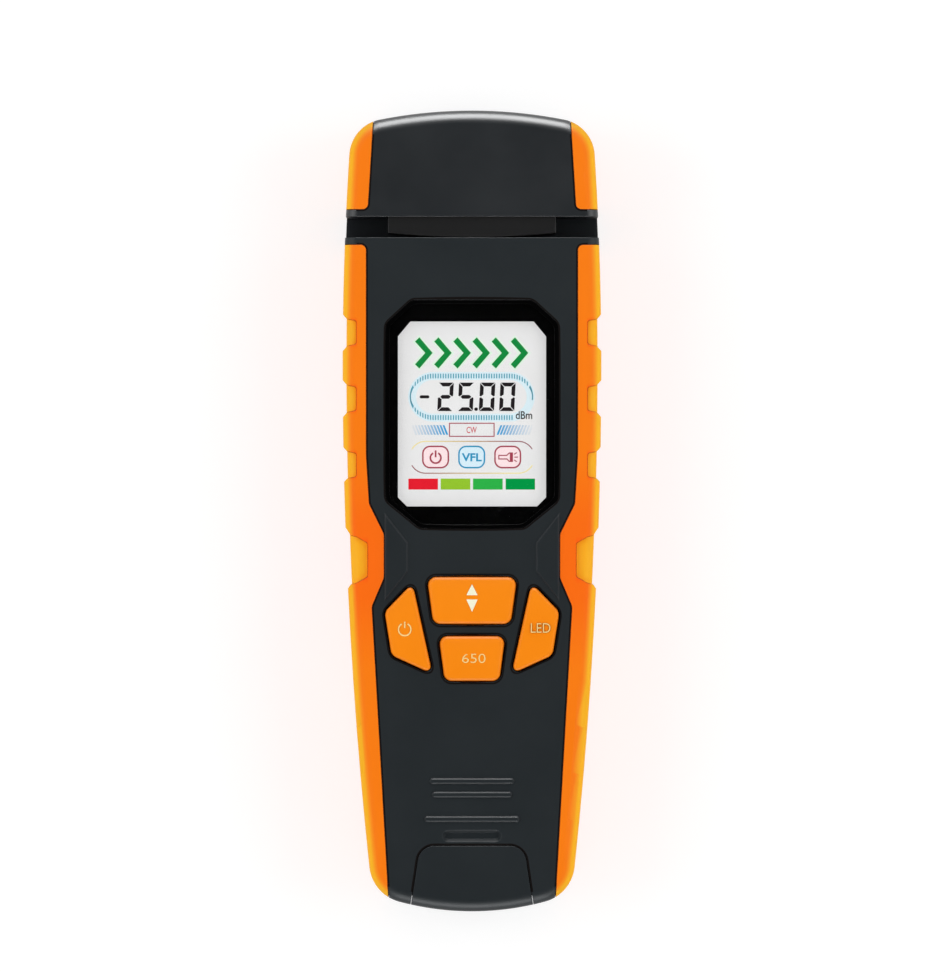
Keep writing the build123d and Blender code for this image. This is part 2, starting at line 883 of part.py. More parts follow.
with BuildPart() as door_opening:
    with BuildSketch(Plane.XY.offset(-beyond)):
        with Locations((0, (door_top_y + door_bottom_y) / 2)):
            Rectangle(2 * (door_half_width + slide_gap), door_top_y - door_bottom_y + 2 * slide_gap)
    extrude(amount=door_seat_z + beyond)
    opening_corners = door_opening.edges().filter_by(Axis.Z).group_by(Axis.Y)[-1]
    fillet(opening_corners, door_corner_radius + slide_gap)
    add(
        block_between(
            (-cells_half_width, bay_bottom_y, door_seat_z - weld),
            (cells_half_width, bay_top_y, bay_roof_z),
        )
    )
    add(
        block_between(
            (-latch_half_width - slide_gap, latch_y - slide_gap, door_seat_z - weld),
            (latch_half_width + slide_gap, door_top_y, door_seat_z + latch_height + slide_gap),
        )
    )
    socket_reach = door_half_width + door_pin_length + seam
    socket_radius = door_pin_radius + pin_gap
    add(rod_along_x(door_pivot_y, door_thickness / 2, socket_radius, -socket_reach, socket_reach))
    add(posts([(0, door_top_y)], door_notch_radius, -beyond, door_notch_depth))

with BuildPart() as thumb_opening:
    with BuildSketch(Plane.XY.offset(-beyond)):
        with Locations((0, thumb_y + jaw_travel / 2)):
            RectangleRounded(2 * dish_half_width, dish_length, dish_corner_radius)
    extrude(amount=dish_depth + beyond)
    add(
        block_between(
            (-arm_half_width - slide_gap, carrier_y - slide_gap, dish_depth - weld),
            (arm_half_width + slide_gap, carrier_y + arm_length + jaw_travel + slide_gap, wall + weld),
        )
    )

with BuildPart() as rear_shell:
    add(case_piece(tail_y, head_y, -beyond, part_line_z))
    add(rear_inside.part)
    add(slot_cut, mode=Mode.SUBTRACT)
    add(wall_ring(wall - lip_wall - seam, tail_y, head_y, lip_step_z), mode=Mode.SUBTRACT)
    add(jaw_window, mode=Mode.SUBTRACT)
    add(sensor_window, mode=Mode.SUBTRACT)
    add(flap_sweep.part, mode=Mode.SUBTRACT)
    add(door_opening.part, mode=Mode.SUBTRACT)
    add(thumb_opening.part, mode=Mode.SUBTRACT)
    hinge_bore_reach = bay_half_width + bay_cheek
    add(
        rod_along_x(hinge_y, hinge_z, hinge_pin_radius + pin_gap, -hinge_bore_reach, hinge_bore_reach),
        mode=Mode.SUBTRACT,
    )
    screw_places = on_both_sides(case_screw_places)
    add(posts(screw_places, screw_radius + screw_gap, -weld, part_line_z + weld), mode=Mode.SUBTRACT)
    add(posts(screw_places, screw_recess_radius, -weld, screw_seat_z), mode=Mode.SUBTRACT)
    peg_tip_y = spring_seat_y - spring_peg_length
    for side in (-1, 1):
        add(rod_along_y(side * spring_x, spring_z, spring_peg_radius, peg_tip_y, spring_seat_y + weld))
finish(rear_shell, "rear_shell")


# Front shell, below the slot
board_posts = on_both_sides(board_post_places)
key_areas = {
    "scroll_key": scroll_area,
    "laser_key": laser_area,
    "lamp_key": lamp_area,
    "power_key": power_area,
}

with BuildPart() as front_inside:
    add(full_width_wall(slot_bottom_y - bulkhead, slot_bottom_y, part_line_z, front_inner_z + weld))
    add(posts(on_both_sides(body_screw_places), boss_radius, part_line_z, front_inner_z + weld))
    add(posts(board_posts, board_post_radius, board_top_z, front_inner_z + weld))
    for low, high in bay_cheek_blocks:
        add(block_between((*low, part_line_z), (*high, front_inner_z + weld)))
    add(envelope(wall - weld), mode=Mode.INTERSECT)

with BuildPart() as cheek:
    with BuildSketch(Plane.XY.offset(thickness - weld)):
        with BuildLine():
            outer_x = grip_neck_half_width - seam
            inner_x = grip_neck_half_width - cheek_width
            Polyline(
                (inner_x, waist_y + cheek_inner_height / 2),
                (outer_x, waist_y + cheek_outer_height / 2),
                (outer_x, waist_y - cheek_outer_height / 2),
                (inner_x, waist_y - cheek_inner_height / 2),
                close=True,
            )
        make_face()
        add(body_grip_area(seam), mode=Mode.SUBTRACT)
    extrude(amount=cheek_rise + weld)
    chamfer(cheek.faces().sort_by(Axis.Z)[-1].edges(), cheek_rise - pin_gap)

with BuildPart() as front_ribs:
    for rib_to_flap, rib_length in (top_rib, middle_rib, bottom_rib):
        with BuildSketch(Plane.XY.offset(thickness - weld)):
            with Locations((0, flap_top_y + rib_to_flap)):
                SlotOverall(rib_length, rib_width)
        extrude(amount=rib_rise + weld)
    fillet(front_ribs.faces().group_by(Axis.Z)[-1].edges(), rib_rise - pin_gap)

with BuildPart() as scoop:
    with BuildSketch(Plane.XY.offset(thickness)):
        with Locations((0, flap_top_y + scoop_to_flap)):
            SlotOverall(scoop_length, scoop_width)
    extrude(amount=-scoop_depth, taper=scoop_taper)

with BuildPart() as front_shell:
    add(case_piece(tail_y, slot_bottom_y, part_line_z, thickness + beyond))
    add(wall_ring(wall - lip_wall, tail_y, slot_bottom_y - bulkhead, part_line_z - lip_depth))
    add(front_inside.part)
    add(cheek.part)
    mirror(cheek.part, about=Plane.YZ)
    add(front_ribs.part)
    add(scoop.part, mode=Mode.SUBTRACT)
    add(sensor_window, mode=Mode.SUBTRACT)
    add(upright(window_area(0), window_seat_z, thickness + beyond), mode=Mode.SUBTRACT)
    add(upright(window_area(-window_ledge), wall, thickness), mode=Mode.SUBTRACT)
    with BuildSketch(Plane.XY.offset(window_seat_z - display_skin)):
        with Locations((0, display_y)):
            Rectangle(2 * display_half_width + 2 * slide_gap, display_height + 2 * slide_gap)
    extrude(amount=-wall, mode=Mode.SUBTRACT)
    for area in key_areas.values():
        add(upright(area(key_gap), front_inner_z - weld, thickness + beyond), mode=Mode.SUBTRACT)
    add(skin(flap_thickness + seam, flap_area(flap_gap), wall), mode=Mode.SUBTRACT)
    add(upright(flap_area(-flap_ledge), wall, thickness + beyond), mode=Mode.SUBTRACT)
    add(
        block_between((-bay_half_width, tail_y, wall), (bay_half_width, port_plate_y, part_line_z)),
        mode=Mode.SUBTRACT,
    )
    add(
        posts(
            on_both_sides(body_screw_places),
            screw_radius + pin_gap,
            part_line_z - weld,
            screw_seat_z + screw_length + slide_gap,
        ),
        mode=Mode.SUBTRACT,
    )
    add(
        posts(
            board_posts,
            board_screw_radius + pin_gap,
            board_top_z - weld,
            board_bottom_z + board_screw_length + slide_gap,
        ),
        mode=Mode.SUBTRACT,
    )
finish(front_shell, "front_shell")


# Head cover, above the slot
with BuildPart() as head_inside:
    add(full_width_wall(slot_top_y, slot_top_y + bulkhead, part_line_z, front_inner_z + weld))
    add(posts(on_both_sides(head_screw_places), boss_radius, part_line_z, front_inner_z + weld))
    add(envelope(wall - weld), mode=Mode.INTERSECT)

with BuildPart() as head_cover:
    add(case_piece(slot_top_y, head_y, part_line_z, thickness + beyond))
    add(wall_ring(wall - lip_wall, slot_top_y + bulkhead, head_y, part_line_z - lip_depth))
    add(head_inside.part)
    add(jaw_window, mode=Mode.SUBTRACT)
    add(
        posts(
            on_both_sides(head_screw_places),
            screw_radius + pin_gap,
            part_line_z - weld,
            screw_seat_z + screw_length + slide_gap,
        ),
        mode=Mode.SUBTRACT,
    )
finish(head_cover, "head_cover")


# Case screws, all alike
screw_top_z = screw_seat_z - screw_head_height
with BuildPart() as case_screws:
    add(posts(screw_places, screw_head_radius, screw_top_z, screw_seat_z))
    add(posts(screw_places, screw_radius, screw_seat_z, screw_seat_z + screw_length))
    with BuildSketch(Plane.XY.offset(screw_top_z)):
        with Locations(*screw_places):
            RegularPolygon(screw_socket_width / 2, 6, major_radius=False)
    extrude(amount=screw_socket_depth, mode=Mode.SUBTRACT)
finish(case_screws, "case_screws")


# Display stack
with BuildPart() as display_lens:
    add(upright(window_area(-seam), window_seat_z, thickness))
    chamfer(display_lens.faces().sort_by(Axis.Z)[-1].edges(), seam)
finish(display_lens, "display_lens")

with BuildPart() as display_glass:
    with BuildSketch(Plane.XY.offset(display_bottom_z)):
        with Locations((0, display_y)):
            Rectangle(2 * display_half_width, display_height)
    extrude(amount=display_thickness)
finish(display_glass, "display_glass")

frame_length = display_height + 2 * display_frame_rim
with BuildPart() as display_frame:
    with BuildSketch(Plane.XY.offset(display_bottom_z - display_frame_height)):
        with Locations((0, display_y)):
            RectangleRounded(2 * frame_half_width, frame_length, display_frame_rim)
    extrude(amount=display_frame_height)
    foot_x = 2 * frame_half_width - 2 * display_foot
    foot_y = frame_length - 2 * display_foot
    with BuildSketch(Plane.XY.offset(board_top_z)):
        with Locations((0, display_y)):
            with GridLocations(foot_x, foot_y, 2, 2):
                Rectangle(display_foot, display_foot)
    extrude(amount=display_bottom_z - display_frame_height - board_top_z)
finish(display_frame, "display_frame")


# Main board and what it carries
with BuildPart() as main_board:
    with BuildSketch(Plane.XY.offset(board_bottom_z)):
        add(body_outline(wall + board_edge_gap))
        with Locations((0, (board_top_y + board_bottom_y) / 2)):
            Rectangle(length, board_top_y - board_bottom_y, mode=Mode.INTERSECT)
    extrude(amount=board_thickness)
    ends = main_board.edges().filter_by(Axis.Z).group_by(Axis.Y)
    fillet(ends[0] + ends[-1], board_corner_radius)
    with BuildSketch(Plane.XY.offset(board_bottom_z)):
        with Locations(*board_posts):
            Circle(board_screw_radius + seam)
        with Locations(*on_both_sides(body_screw_places)):
            Circle(boss_radius + slide_gap)
    extrude(amount=board_thickness, mode=Mode.SUBTRACT)
finish(main_board, "main_board")

with BuildPart() as processor_chip:
    with BuildSketch(Plane.XY.offset(board_bottom_z - chip_height)):
        with Locations((0, chip_y)):
            Rectangle(chip_size, chip_size)
    extrude(amount=chip_height)
    chamfer(processor_chip.faces().sort_by(Axis.Z)[0].edges(), chip_chamfer)
finish(processor_chip, "processor_chip")

with BuildPart() as display_connector:
    with BuildSketch(Plane.XY.offset(board_top_z)):
        with Locations((0, connector_y)):
            Rectangle(connector_width, connector_length)
    extrude(amount=connector_height)
    chamfer(display_connector.faces().sort_by(Axis.Z)[-1].edges().filter_by(Axis.X), connector_chamfer)
finish(display_connector, "display_connector")

with BuildPart() as buzzer:
    add(posts([(0, buzzer_y)], buzzer_radius, board_bottom_z - buzzer_height, board_bottom_z))
    add(
        posts(
            [(0, buzzer_y)],
            buzzer_hole_radius,
            board_bottom_z - buzzer_height - weld,
            board_bottom_z - buzzer_height + buzzer_hole_depth,
        ),
        mode=Mode.SUBTRACT,
    )
finish(buzzer, "buzzer")

with BuildPart() as board_screws:
    board_screw_top_z = board_bottom_z - board_screw_head_height
    add(posts(board_posts, board_screw_head_radius, board_screw_top_z, board_bottom_z))
    add(posts(board_posts, board_screw_radius, board_bottom_z, board_bottom_z + board_screw_length))
finish(board_screws, "board_screws")


# Keys, each with the switch that it presses
key_stems = {
    "power_key": {"power": key_place(-1, side_key_stem)},
    "lamp_key": {"lamp": key_place(1, side_key_stem)},
    "laser_key": {"laser": (0, laser_y)},
    "scroll_key": {
        "scroll_up": (0, scroll_y + scroll_stem_spacing / 2),
        "scroll_down": (0, scroll_y - scroll_stem_spacing / 2),
    },
}

for key_name, stems in key_stems.items():
    flange_top_z = scroll_flange_top_z if key_name == "scroll_key" else push_flange_top_z
    with BuildPart() as key:
        add(key_cap(key_areas[key_name], flange_top_z, list(stems.values())))
    finish(key, key_name)

    for switch_name, place in stems.items():
        with BuildPart() as plunger:
            add(posts([place], plunger_radius, switch_top_z - plunger_reach, stem_bottom_z))
        finish(plunger, f"{switch_name}_plunger")

        with BuildPart() as switch:
            with BuildSketch(Plane.XY.offset(board_top_z)):
                with Locations(place):
                    Rectangle(switch_size, switch_size)
            extrude(amount=switch_height)
            chamfer(switch.edges().filter_by(Axis.Z), plunger_gap)
            well_z = switch_top_z - plunger_reach - key_travel - seam
            add(
                posts([place], plunger_radius + plunger_gap, well_z, switch_top_z + weld),
                mode=Mode.SUBTRACT,
            )
        finish(switch, f"{switch_name}_switch")


# Sensor block, its two photodiodes and their board
diode_places = [-diode_spacing / 2, diode_spacing / 2]
with BuildPart() as sensor_block:
    add(
        block_between(
            (-sensor_half_width, sensor_back_y, slot_floor_z),
            (sensor_half_width, slot_bottom_y, sensor_top_z),
        )
    )
    with BuildSketch(Plane.YZ.offset(-sensor_half_width - weld)):
        with BuildLine():
            Polyline(
                (slot_bottom_y + weld, fibre_z - sensor_groove - weld),
                (slot_bottom_y - sensor_groove, fibre_z),
                (slot_bottom_y + weld, fibre_z + sensor_groove + weld),
                close=True,
            )
        make_face()
    extrude(amount=2 * (sensor_half_width + weld), mode=Mode.SUBTRACT)
    for diode_x in diode_places:
        can_end_y = sensor_back_y + diode_length + seam
        add(
            rod_along_y(diode_x, fibre_z, diode_radius + pin_gap, sensor_back_y - weld, can_end_y),
            mode=Mode.SUBTRACT,
        )
        add(
            rod_along_y(diode_x, fibre_z, diode_window_radius, can_end_y - weld, slot_bottom_y),
            mode=Mode.SUBTRACT,
        )
finish(sensor_block, "sensor_block")

for diode_name, diode_x in zip(("photodiode_left", "photodiode_right"), diode_places):
    with BuildPart() as photodiode:
        flange_y = sensor_back_y - diode_flange
        add(rod_along_y(diode_x, fibre_z, diode_flange_radius, flange_y, sensor_back_y))
        add(rod_along_y(diode_x, fibre_z, diode_radius, sensor_back_y, sensor_back_y + diode_length))
        for lead_x in (diode_x - lead_spacing / 2, diode_x + lead_spacing / 2):
            add(rod_along_y(lead_x, fibre_z, lead_radius, flange_y - lead_length, flange_y))
    finish(photodiode, diode_name)

with BuildPart() as sensor_board:
    board_half_width = sensor_half_width - sensor_board_margin
    add(
        block_between(
            (-board_half_width, sensor_board_y - sensor_board_thickness, slot_floor_z),
            (board_half_width, sensor_board_y, sensor_top_z - sensor_board_margin),
        )
    )
finish(sensor_board, "sensor_board")


# Clamp: jaw, pad, carrier and thumb slider
with BuildPart() as jaw_block:
    face_end_y = jaw_face_y + jaw_face_radius - sqrt(jaw_face_radius**2 - jaw_half_width**2)
    with BuildSketch(Plane.XY.offset(jaw_bottom_z)):
        with BuildLine():
            ThreePointArc((-jaw_half_width, face_end_y), (0, jaw_face_y), (jaw_half_width, face_end_y))
            Polyline(
                (jaw_half_width, face_end_y),
                (jaw_half_width, carrier_y),
                (-jaw_half_width, carrier_y),
                (-jaw_half_width, face_end_y),
            )
        make_face()
    extrude(amount=jaw_top_z - jaw_bottom_z)

with BuildPart() as jaw_pad:
    add(jaw_block.part)
    with BuildSketch(Plane.XY.offset(fibre_z - jaw_pad_height / 2)):
        Rectangle(2 * jaw_pad_half_width, length)
    extrude(amount=jaw_pad_height, mode=Mode.INTERSECT)
    with BuildSketch(Plane.XY.offset(fibre_z - jaw_pad_height / 2)):
        with Locations((0, jaw_face_y + jaw_face_radius + jaw_pad_thickness)):
            Circle(jaw_face_radius)
    extrude(amount=jaw_pad_height, mode=Mode.SUBTRACT)
finish(jaw_pad, "jaw_pad")

jaw_hollow_y = jaw_face_y + jaw_wall + jaw_pad_thickness
carrier_screws_at = [-carrier_screw_x, carrier_screw_x]
screw_end_y = carrier_y + carrier_thickness - carrier_screw_length
with BuildPart() as jaw:
    add(jaw_block.part)
    add(
        block_between(
            (-jaw_half_width + jaw_wall, jaw_hollow_y, carrier_screw_z + jaw_wall),
            (jaw_half_width - jaw_wall, carrier_y + weld, jaw_top_z - jaw_wall),
        ),
        mode=Mode.SUBTRACT,
    )
    add(jaw_pad.part, mode=Mode.SUBTRACT)
    for screw_x in carrier_screws_at:
        add(
            rod_along_y(
                screw_x, carrier_screw_z, carrier_screw_radius + pin_gap, screw_end_y - seam, carrier_y + weld
            ),
            mode=Mode.SUBTRACT,
        )
finish(jaw, "jaw")

arm_low_z = thumb_top_z
slider_screw_top_z = thumb_sink + carrier_screw_head_height + carrier_screw_length
with BuildPart() as jaw_carrier:
    add(
        block_between(
            (-carrier_half_width, carrier_y, carrier_bottom_z),
            (carrier_half_width, carrier_y + carrier_thickness, carrier_top_z),
        )
    )
    add(
        block_between(
            (-arm_half_width, carrier_y, arm_low_z),
            (arm_half_width, carrier_y + arm_length, carrier_bottom_z + carrier_thickness),
        )
    )
    add(
        block_between(
            (-cover_half_width, carrier_y - cover_overlap, wall + seam),
            (cover_half_width, carrier_y + arm_length + jaw_travel, wall + seam + cover_thickness),
        )
    )
    for screw_x in carrier_screws_at:
        add(
            rod_along_y(
                screw_x,
                carrier_screw_z,
                carrier_screw_radius + pin_gap,
                carrier_y - weld,
                carrier_y + carrier_thickness + weld,
            ),
            mode=Mode.SUBTRACT,
        )
    add(
        posts([(0, thumb_y)], carrier_screw_radius + pin_gap, arm_low_z - weld, slider_screw_top_z + seam),
        mode=Mode.SUBTRACT,
    )
finish(jaw_carrier, "jaw_carrier")

with BuildPart() as carrier_screws:
    head_low_y = carrier_y + carrier_thickness
    head_high_y = head_low_y + carrier_screw_head_height
    for screw_x in carrier_screws_at:
        add(rod_along_y(screw_x, carrier_screw_z, carrier_screw_radius, screw_end_y, head_low_y))
        add(rod_along_y(screw_x, carrier_screw_z, carrier_screw_head_radius, head_low_y, head_high_y))
finish(carrier_screws, "carrier_screws")

with BuildPart() as thumb_slider:
    with BuildSketch(Plane.XY.offset(thumb_sink)):
        with Locations((0, thumb_y)):
            RectangleRounded(2 * thumb_half_width, thumb_length, thumb_corner_radius)
    extrude(amount=thumb_thickness)
    groove_pitch = thumb_length / (thumb_groove_count + 1)
    with BuildSketch(Plane.XY.offset(thumb_sink)):
        for side in (-1, 1):
            with Locations((side * (thumb_half_width + carrier_screw_head_radius) / 2, thumb_y)):
                with GridLocations(0, groove_pitch, 1, thumb_groove_count):
                    SlotOverall(thumb_half_width - 2 * carrier_screw_head_radius, thumb_groove)
    extrude(amount=thumb_groove, mode=Mode.SUBTRACT)
    add(
        posts(
            [(0, thumb_y)],
            carrier_screw_head_radius + seam,
            thumb_sink - weld,
            thumb_sink + carrier_screw_head_height,
        ),
        mode=Mode.SUBTRACT,
    )
    add(
        posts([(0, thumb_y)], carrier_screw_radius + seam, thumb_sink, thumb_top_z + weld),
        mode=Mode.SUBTRACT,
    )
finish(thumb_slider, "thumb_slider")

with BuildPart() as slider_screw:
    screw_shoulder_z = thumb_sink + carrier_screw_head_height
    add(posts([(0, thumb_y)], carrier_screw_head_radius, thumb_sink, screw_shoulder_z))
    add(posts([(0, thumb_y)], carrier_screw_radius, screw_shoulder_z, slider_screw_top_z))
finish(slider_screw, "slider_screw")


def jaw_spring(spring_x_at):
    """A compression spring along Y between the carrier and its seat."""
    first_y = spring_low_y + spring_wire + pin_gap
    last_y = spring_seat_y - spring_wire - pin_gap
    coil_radius = spring_radius - spring_wire
    with BuildPart() as spring:
        with BuildLine():
            coil = Helix(
                (last_y - first_y) / spring_turns,
                last_y - first_y,
                coil_radius,
                center=(spring_x_at, first_y, spring_z),
                direction=(0, 1, 0),
            )
        with BuildSketch(Plane(origin=coil @ 0, z_dir=coil % 0)):
            Circle(spring_wire)
        sweep(is_frenet=True)
    return spring.part


for spring_name, spring_side in (("jaw_spring_left", -1), ("jaw_spring_right", 1)):
    with BuildPart() as spring_piece:
        add(jaw_spring(spring_side * spring_x))
    finish(spring_piece, spring_name)


# Port plate with the laser port and the lamp
with BuildPart() as port_plate:
    add(
        block_between(
            (-bay_half_width, port_plate_y, wall),
            (bay_half_width, plate_back_y, front_inner_z),
        )
    )
    add(
        rod_along_y(port_x, port_z, port_radius + pin_gap, port_plate_y - weld, plate_back_y + weld),
        mode=Mode.SUBTRACT,
    )
    add(
        rod_along_y(lamp_x, port_z, lamp_radius + pin_gap, port_plate_y - weld, plate_back_y + weld),
        mode=Mode.SUBTRACT,
    )
finish(port_plate, "port_plate")

port_mouth_y = plate_back_y - port_length - port_plate_thickness
with BuildPart() as laser_port:
    add(rod_along_y(port_x, port_z, port_radius, port_mouth_y, plate_back_y))
    add(rod_along_y(port_x, port_z, port_collar_radius, port_plate_y - port_collar, port_plate_y))
    chamfer(laser_port.edges().filter_by(GeomType.CIRCLE).sort_by(Axis.Y)[0], port_chamfer)
    add(
        rod_along_y(port_x, port_z, ferrule_radius, port_mouth_y - weld, port_mouth_y + ferrule_depth),
        mode=Mode.SUBTRACT,
    )
finish(laser_port, "laser_port")

with BuildPart() as laser_module:
    add(
        block_between(
            (port_x - module_width / 2, plate_back_y, port_z - module_height / 2),
            (port_x + module_width / 2, plate_back_y + module_depth, port_z + module_height / 2),
        )
    )
    chamfer(laser_module.edges().filter_by(Axis.Y), module_chamfer)
finish(laser_module, "laser_module")

with BuildPart() as lamp_lens:
    add(rod_along_y(lamp_x, port_z, lamp_radius, port_plate_y - lamp_length, plate_back_y))
    fillet(lamp_lens.edges().filter_by(GeomType.CIRCLE).sort_by(Axis.Y)[0], lamp_dome_radius)
finish(lamp_lens, "lamp_lens")

with BuildPart() as lamp_bezel:
    bezel_y = port_plate_y - port_collar
    add(rod_along_y(lamp_x, port_z, lamp_bezel_radius, bezel_y, port_plate_y))
    add(
        rod_along_y(lamp_x, port_z, lamp_radius + pin_gap, bezel_y - weld, port_plate_y + weld),
        mode=Mode.SUBTRACT,
    )
finish(lamp_bezel, "lamp_bezel")

with BuildPart() as lamp_led:
    add(
        block_between(
            (lamp_x - led_size / 2, plate_back_y, port_z - led_size / 2),
            (lamp_x + led_size / 2, plate_back_y + led_depth, port_z + led_size / 2),
        )
    )
finish(lamp_led, "lamp_led")


# Port flap and its hinge pin
with BuildPart() as port_flap:
    add(skin(flap_thickness, flap_area(0), hinge_z))
    add(rod_along_x(hinge_y, hinge_z, knuckle_radius, -knuckle_half_width, knuckle_half_width))
    knuckle_bore_reach = knuckle_half_width + weld
    add(
        rod_along_x(hinge_y, hinge_z, hinge_pin_radius + pin_gap, -knuckle_bore_reach, knuckle_bore_reach),
        mode=Mode.SUBTRACT,
    )
finish(port_flap, "port_flap")

with BuildPart() as flap_hinge_pin:
    pin_half_length = bay_half_width + bay_cheek - seam
    add(rod_along_x(hinge_y, hinge_z, hinge_pin_radius, -pin_half_length, pin_half_length))
finish(flap_hinge_pin, "flap_hinge_pin")


# Battery door on the back
with BuildPart() as battery_door:
    with BuildSketch(Plane.XY):
        with Locations((0, (door_top_y + door_pivot_y) / 2)):
            Rectangle(2 * door_half_width, door_top_y - door_pivot_y)
    extrude(amount=door_thickness)
    fillet(battery_door.edges().filter_by(Axis.Z).group_by(Axis.Y)[-1], door_corner_radius)
    edge_radius = door_thickness / 2
    add(rod_along_x(door_pivot_y, door_thickness / 2, edge_radius, -door_half_width, door_half_width))
    pin_reach = door_half_width + door_pin_length
    add(rod_along_x(door_pivot_y, door_thickness / 2, door_pin_radius, -pin_reach, pin_reach))
    add(
        block_between(
            (-latch_half_width, latch_y, door_thickness - weld),
            (latch_half_width, latch_y + latch_thickness, door_thickness + latch_height),
        )
    )
finish(battery_door, "battery_door")


# Cells and their contacts
cell_places = [cell_pitch * (index - (cell_count - 1) / 2) for index in range(cell_count)]
for index, cell_x in enumerate(cell_places):
    with BuildPart() as cell:
        low_y = cell_middle_y - cell_length / 2
        high_y = cell_middle_y + cell_length / 2
        if index % 2 == 0:
            can = (low_y, high_y - cell_nub_length)
            nub = (high_y - cell_nub_length, high_y)
        else:
            can = (low_y + cell_nub_length, high_y)
            nub = (low_y, low_y + cell_nub_length)
        add(rod_along_y(cell_x, cell_z, cell_radius, *can))
        add(rod_along_y(cell_x, cell_z, cell_nub_radius, *nub))
    finish(cell, f"battery_cell_{index + 1}")


def leaf_contacts(wall_y, tip_y):
    """Bent leaf contacts on a wall of the battery bay, one for each cell."""
    inward = 1 if tip_y > wall_y else -1
    with BuildPart() as group:
        for cell_x in cell_places:
            with BuildSketch(Plane.YZ.offset(cell_x - contact_width / 2)):
                with BuildLine():
                    leaf = Polyline(
                        (wall_y + inward * contact_thickness / 2, cell_z + leaf_top * cell_radius),
                        (wall_y + inward * contact_thickness / 2, cell_z + leaf_foot * cell_radius),
                        (tip_y - inward * contact_thickness / 2, cell_z + leaf_tip * cell_radius),
                        (wall_y + inward * contact_thickness * 2, cell_z + leaf_return * cell_radius),
                    )
                    offset(leaf, contact_thickness / 2, side=Side.BOTH)
                make_face()
            extrude(amount=contact_width)
    return group.part


with BuildPart() as contacts_low:
    add(leaf_contacts(bay_bottom_y, cell_middle_y - cell_length / 2))
finish(contacts_low, "battery_contacts_low")

with BuildPart() as contacts_high:
    add(leaf_contacts(bay_top_y, cell_middle_y + cell_length / 2))
finish(contacts_high, "battery_contacts_high")
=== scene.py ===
"""Looks of a handheld fibre identifier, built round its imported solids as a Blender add-on."""

import json
import math

import bmesh
import bpy
from bpy.props import FloatProperty, FloatVectorProperty, PointerProperty
from mathutils import Matrix, Vector


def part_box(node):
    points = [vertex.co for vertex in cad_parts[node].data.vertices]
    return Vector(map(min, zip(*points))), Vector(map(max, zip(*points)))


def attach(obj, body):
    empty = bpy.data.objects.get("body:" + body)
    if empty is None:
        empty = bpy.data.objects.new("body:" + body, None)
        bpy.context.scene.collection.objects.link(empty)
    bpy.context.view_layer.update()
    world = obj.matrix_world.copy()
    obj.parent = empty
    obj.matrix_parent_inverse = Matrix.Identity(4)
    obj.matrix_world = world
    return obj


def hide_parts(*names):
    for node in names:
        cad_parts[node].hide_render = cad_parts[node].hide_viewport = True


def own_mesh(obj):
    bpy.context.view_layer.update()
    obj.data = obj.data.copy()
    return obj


bl_info = {
    "name": "Fibre Identifier",
    "version": (1, 0, 0),
    "blender": (4, 5, 0),
    "location": "3D View > Sidebar > Identifier",
    "description": "Builds the keys, display, window, finishes and studio of a handheld fibre identifier",
    "category": "Add Mesh",
}

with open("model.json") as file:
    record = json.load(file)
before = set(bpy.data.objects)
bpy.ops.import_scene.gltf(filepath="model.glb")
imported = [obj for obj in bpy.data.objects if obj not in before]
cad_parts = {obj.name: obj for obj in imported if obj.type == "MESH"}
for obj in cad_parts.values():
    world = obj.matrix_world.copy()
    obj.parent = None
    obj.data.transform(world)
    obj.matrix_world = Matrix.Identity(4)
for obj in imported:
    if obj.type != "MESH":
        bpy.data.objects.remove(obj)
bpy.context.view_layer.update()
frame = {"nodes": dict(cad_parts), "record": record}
NODES = frame["nodes"]

MM = 0.001
DOT = 0.2369 * MM
DISPLAY_MIDDLE = (0.0, 23.0 * MM)


def paint(red, green, blue):
    """A colour as a paint chart gives it, turned into the linear values that shaders use."""
    def line(value):
        share = value / 255
        return share / 12.92 if share <= 0.04045 else ((share + 0.055) / 1.055) ** 2.4
    return (line(red), line(green), line(blue))


# Sizes and colours that a user would change.

class IdentifierSizes(bpy.types.PropertyGroup):
    """Sizes of the pieces built round the solids."""
    key_soft_edge: FloatProperty(
        name="Key soft edge", description="Radius of the rounded rim of a key",
        default=0.95 * MM, min=0.2 * MM, max=1.1 * MM, unit="LENGTH")
    key_rim_height: FloatProperty(
        name="Key rim height", description="Height of a key's top where its rounded rim ends",
        default=34.7 * MM, min=34.2 * MM, max=34.9 * MM, unit="LENGTH")
    key_crown: FloatProperty(
        name="Key crown", description="How far the middle of a key stands above its rim",
        default=0.22 * MM, min=0.0, max=0.25 * MM, unit="LENGTH")
    legend_thickness: FloatProperty(
        name="Legend thickness", description="How far a printed legend stands above its key",
        default=0.04 * MM, min=0.01 * MM, max=0.07 * MM, unit="LENGTH")
    window_top: FloatProperty(
        name="Window top", description="Height of the window's outer face",
        default=33.98 * MM, min=33.6 * MM, max=34.0 * MM, unit="LENGTH")
    pane_thickness: FloatProperty(
        name="Pane thickness", description="Thickness of the clear window over its black print",
        default=0.6 * MM, min=0.3 * MM, max=1.0 * MM, unit="LENGTH")
    art_thickness: FloatProperty(
        name="Display mark thickness", description="How far a lit mark stands above the display's ground",
        default=0.03 * MM, min=0.01 * MM, max=0.1 * MM, unit="LENGTH")


def colour_value(name, description, default):
    return FloatVectorProperty(
        name=name, description=description, default=default, subtype="COLOR", size=3, min=0.0, max=1.0)


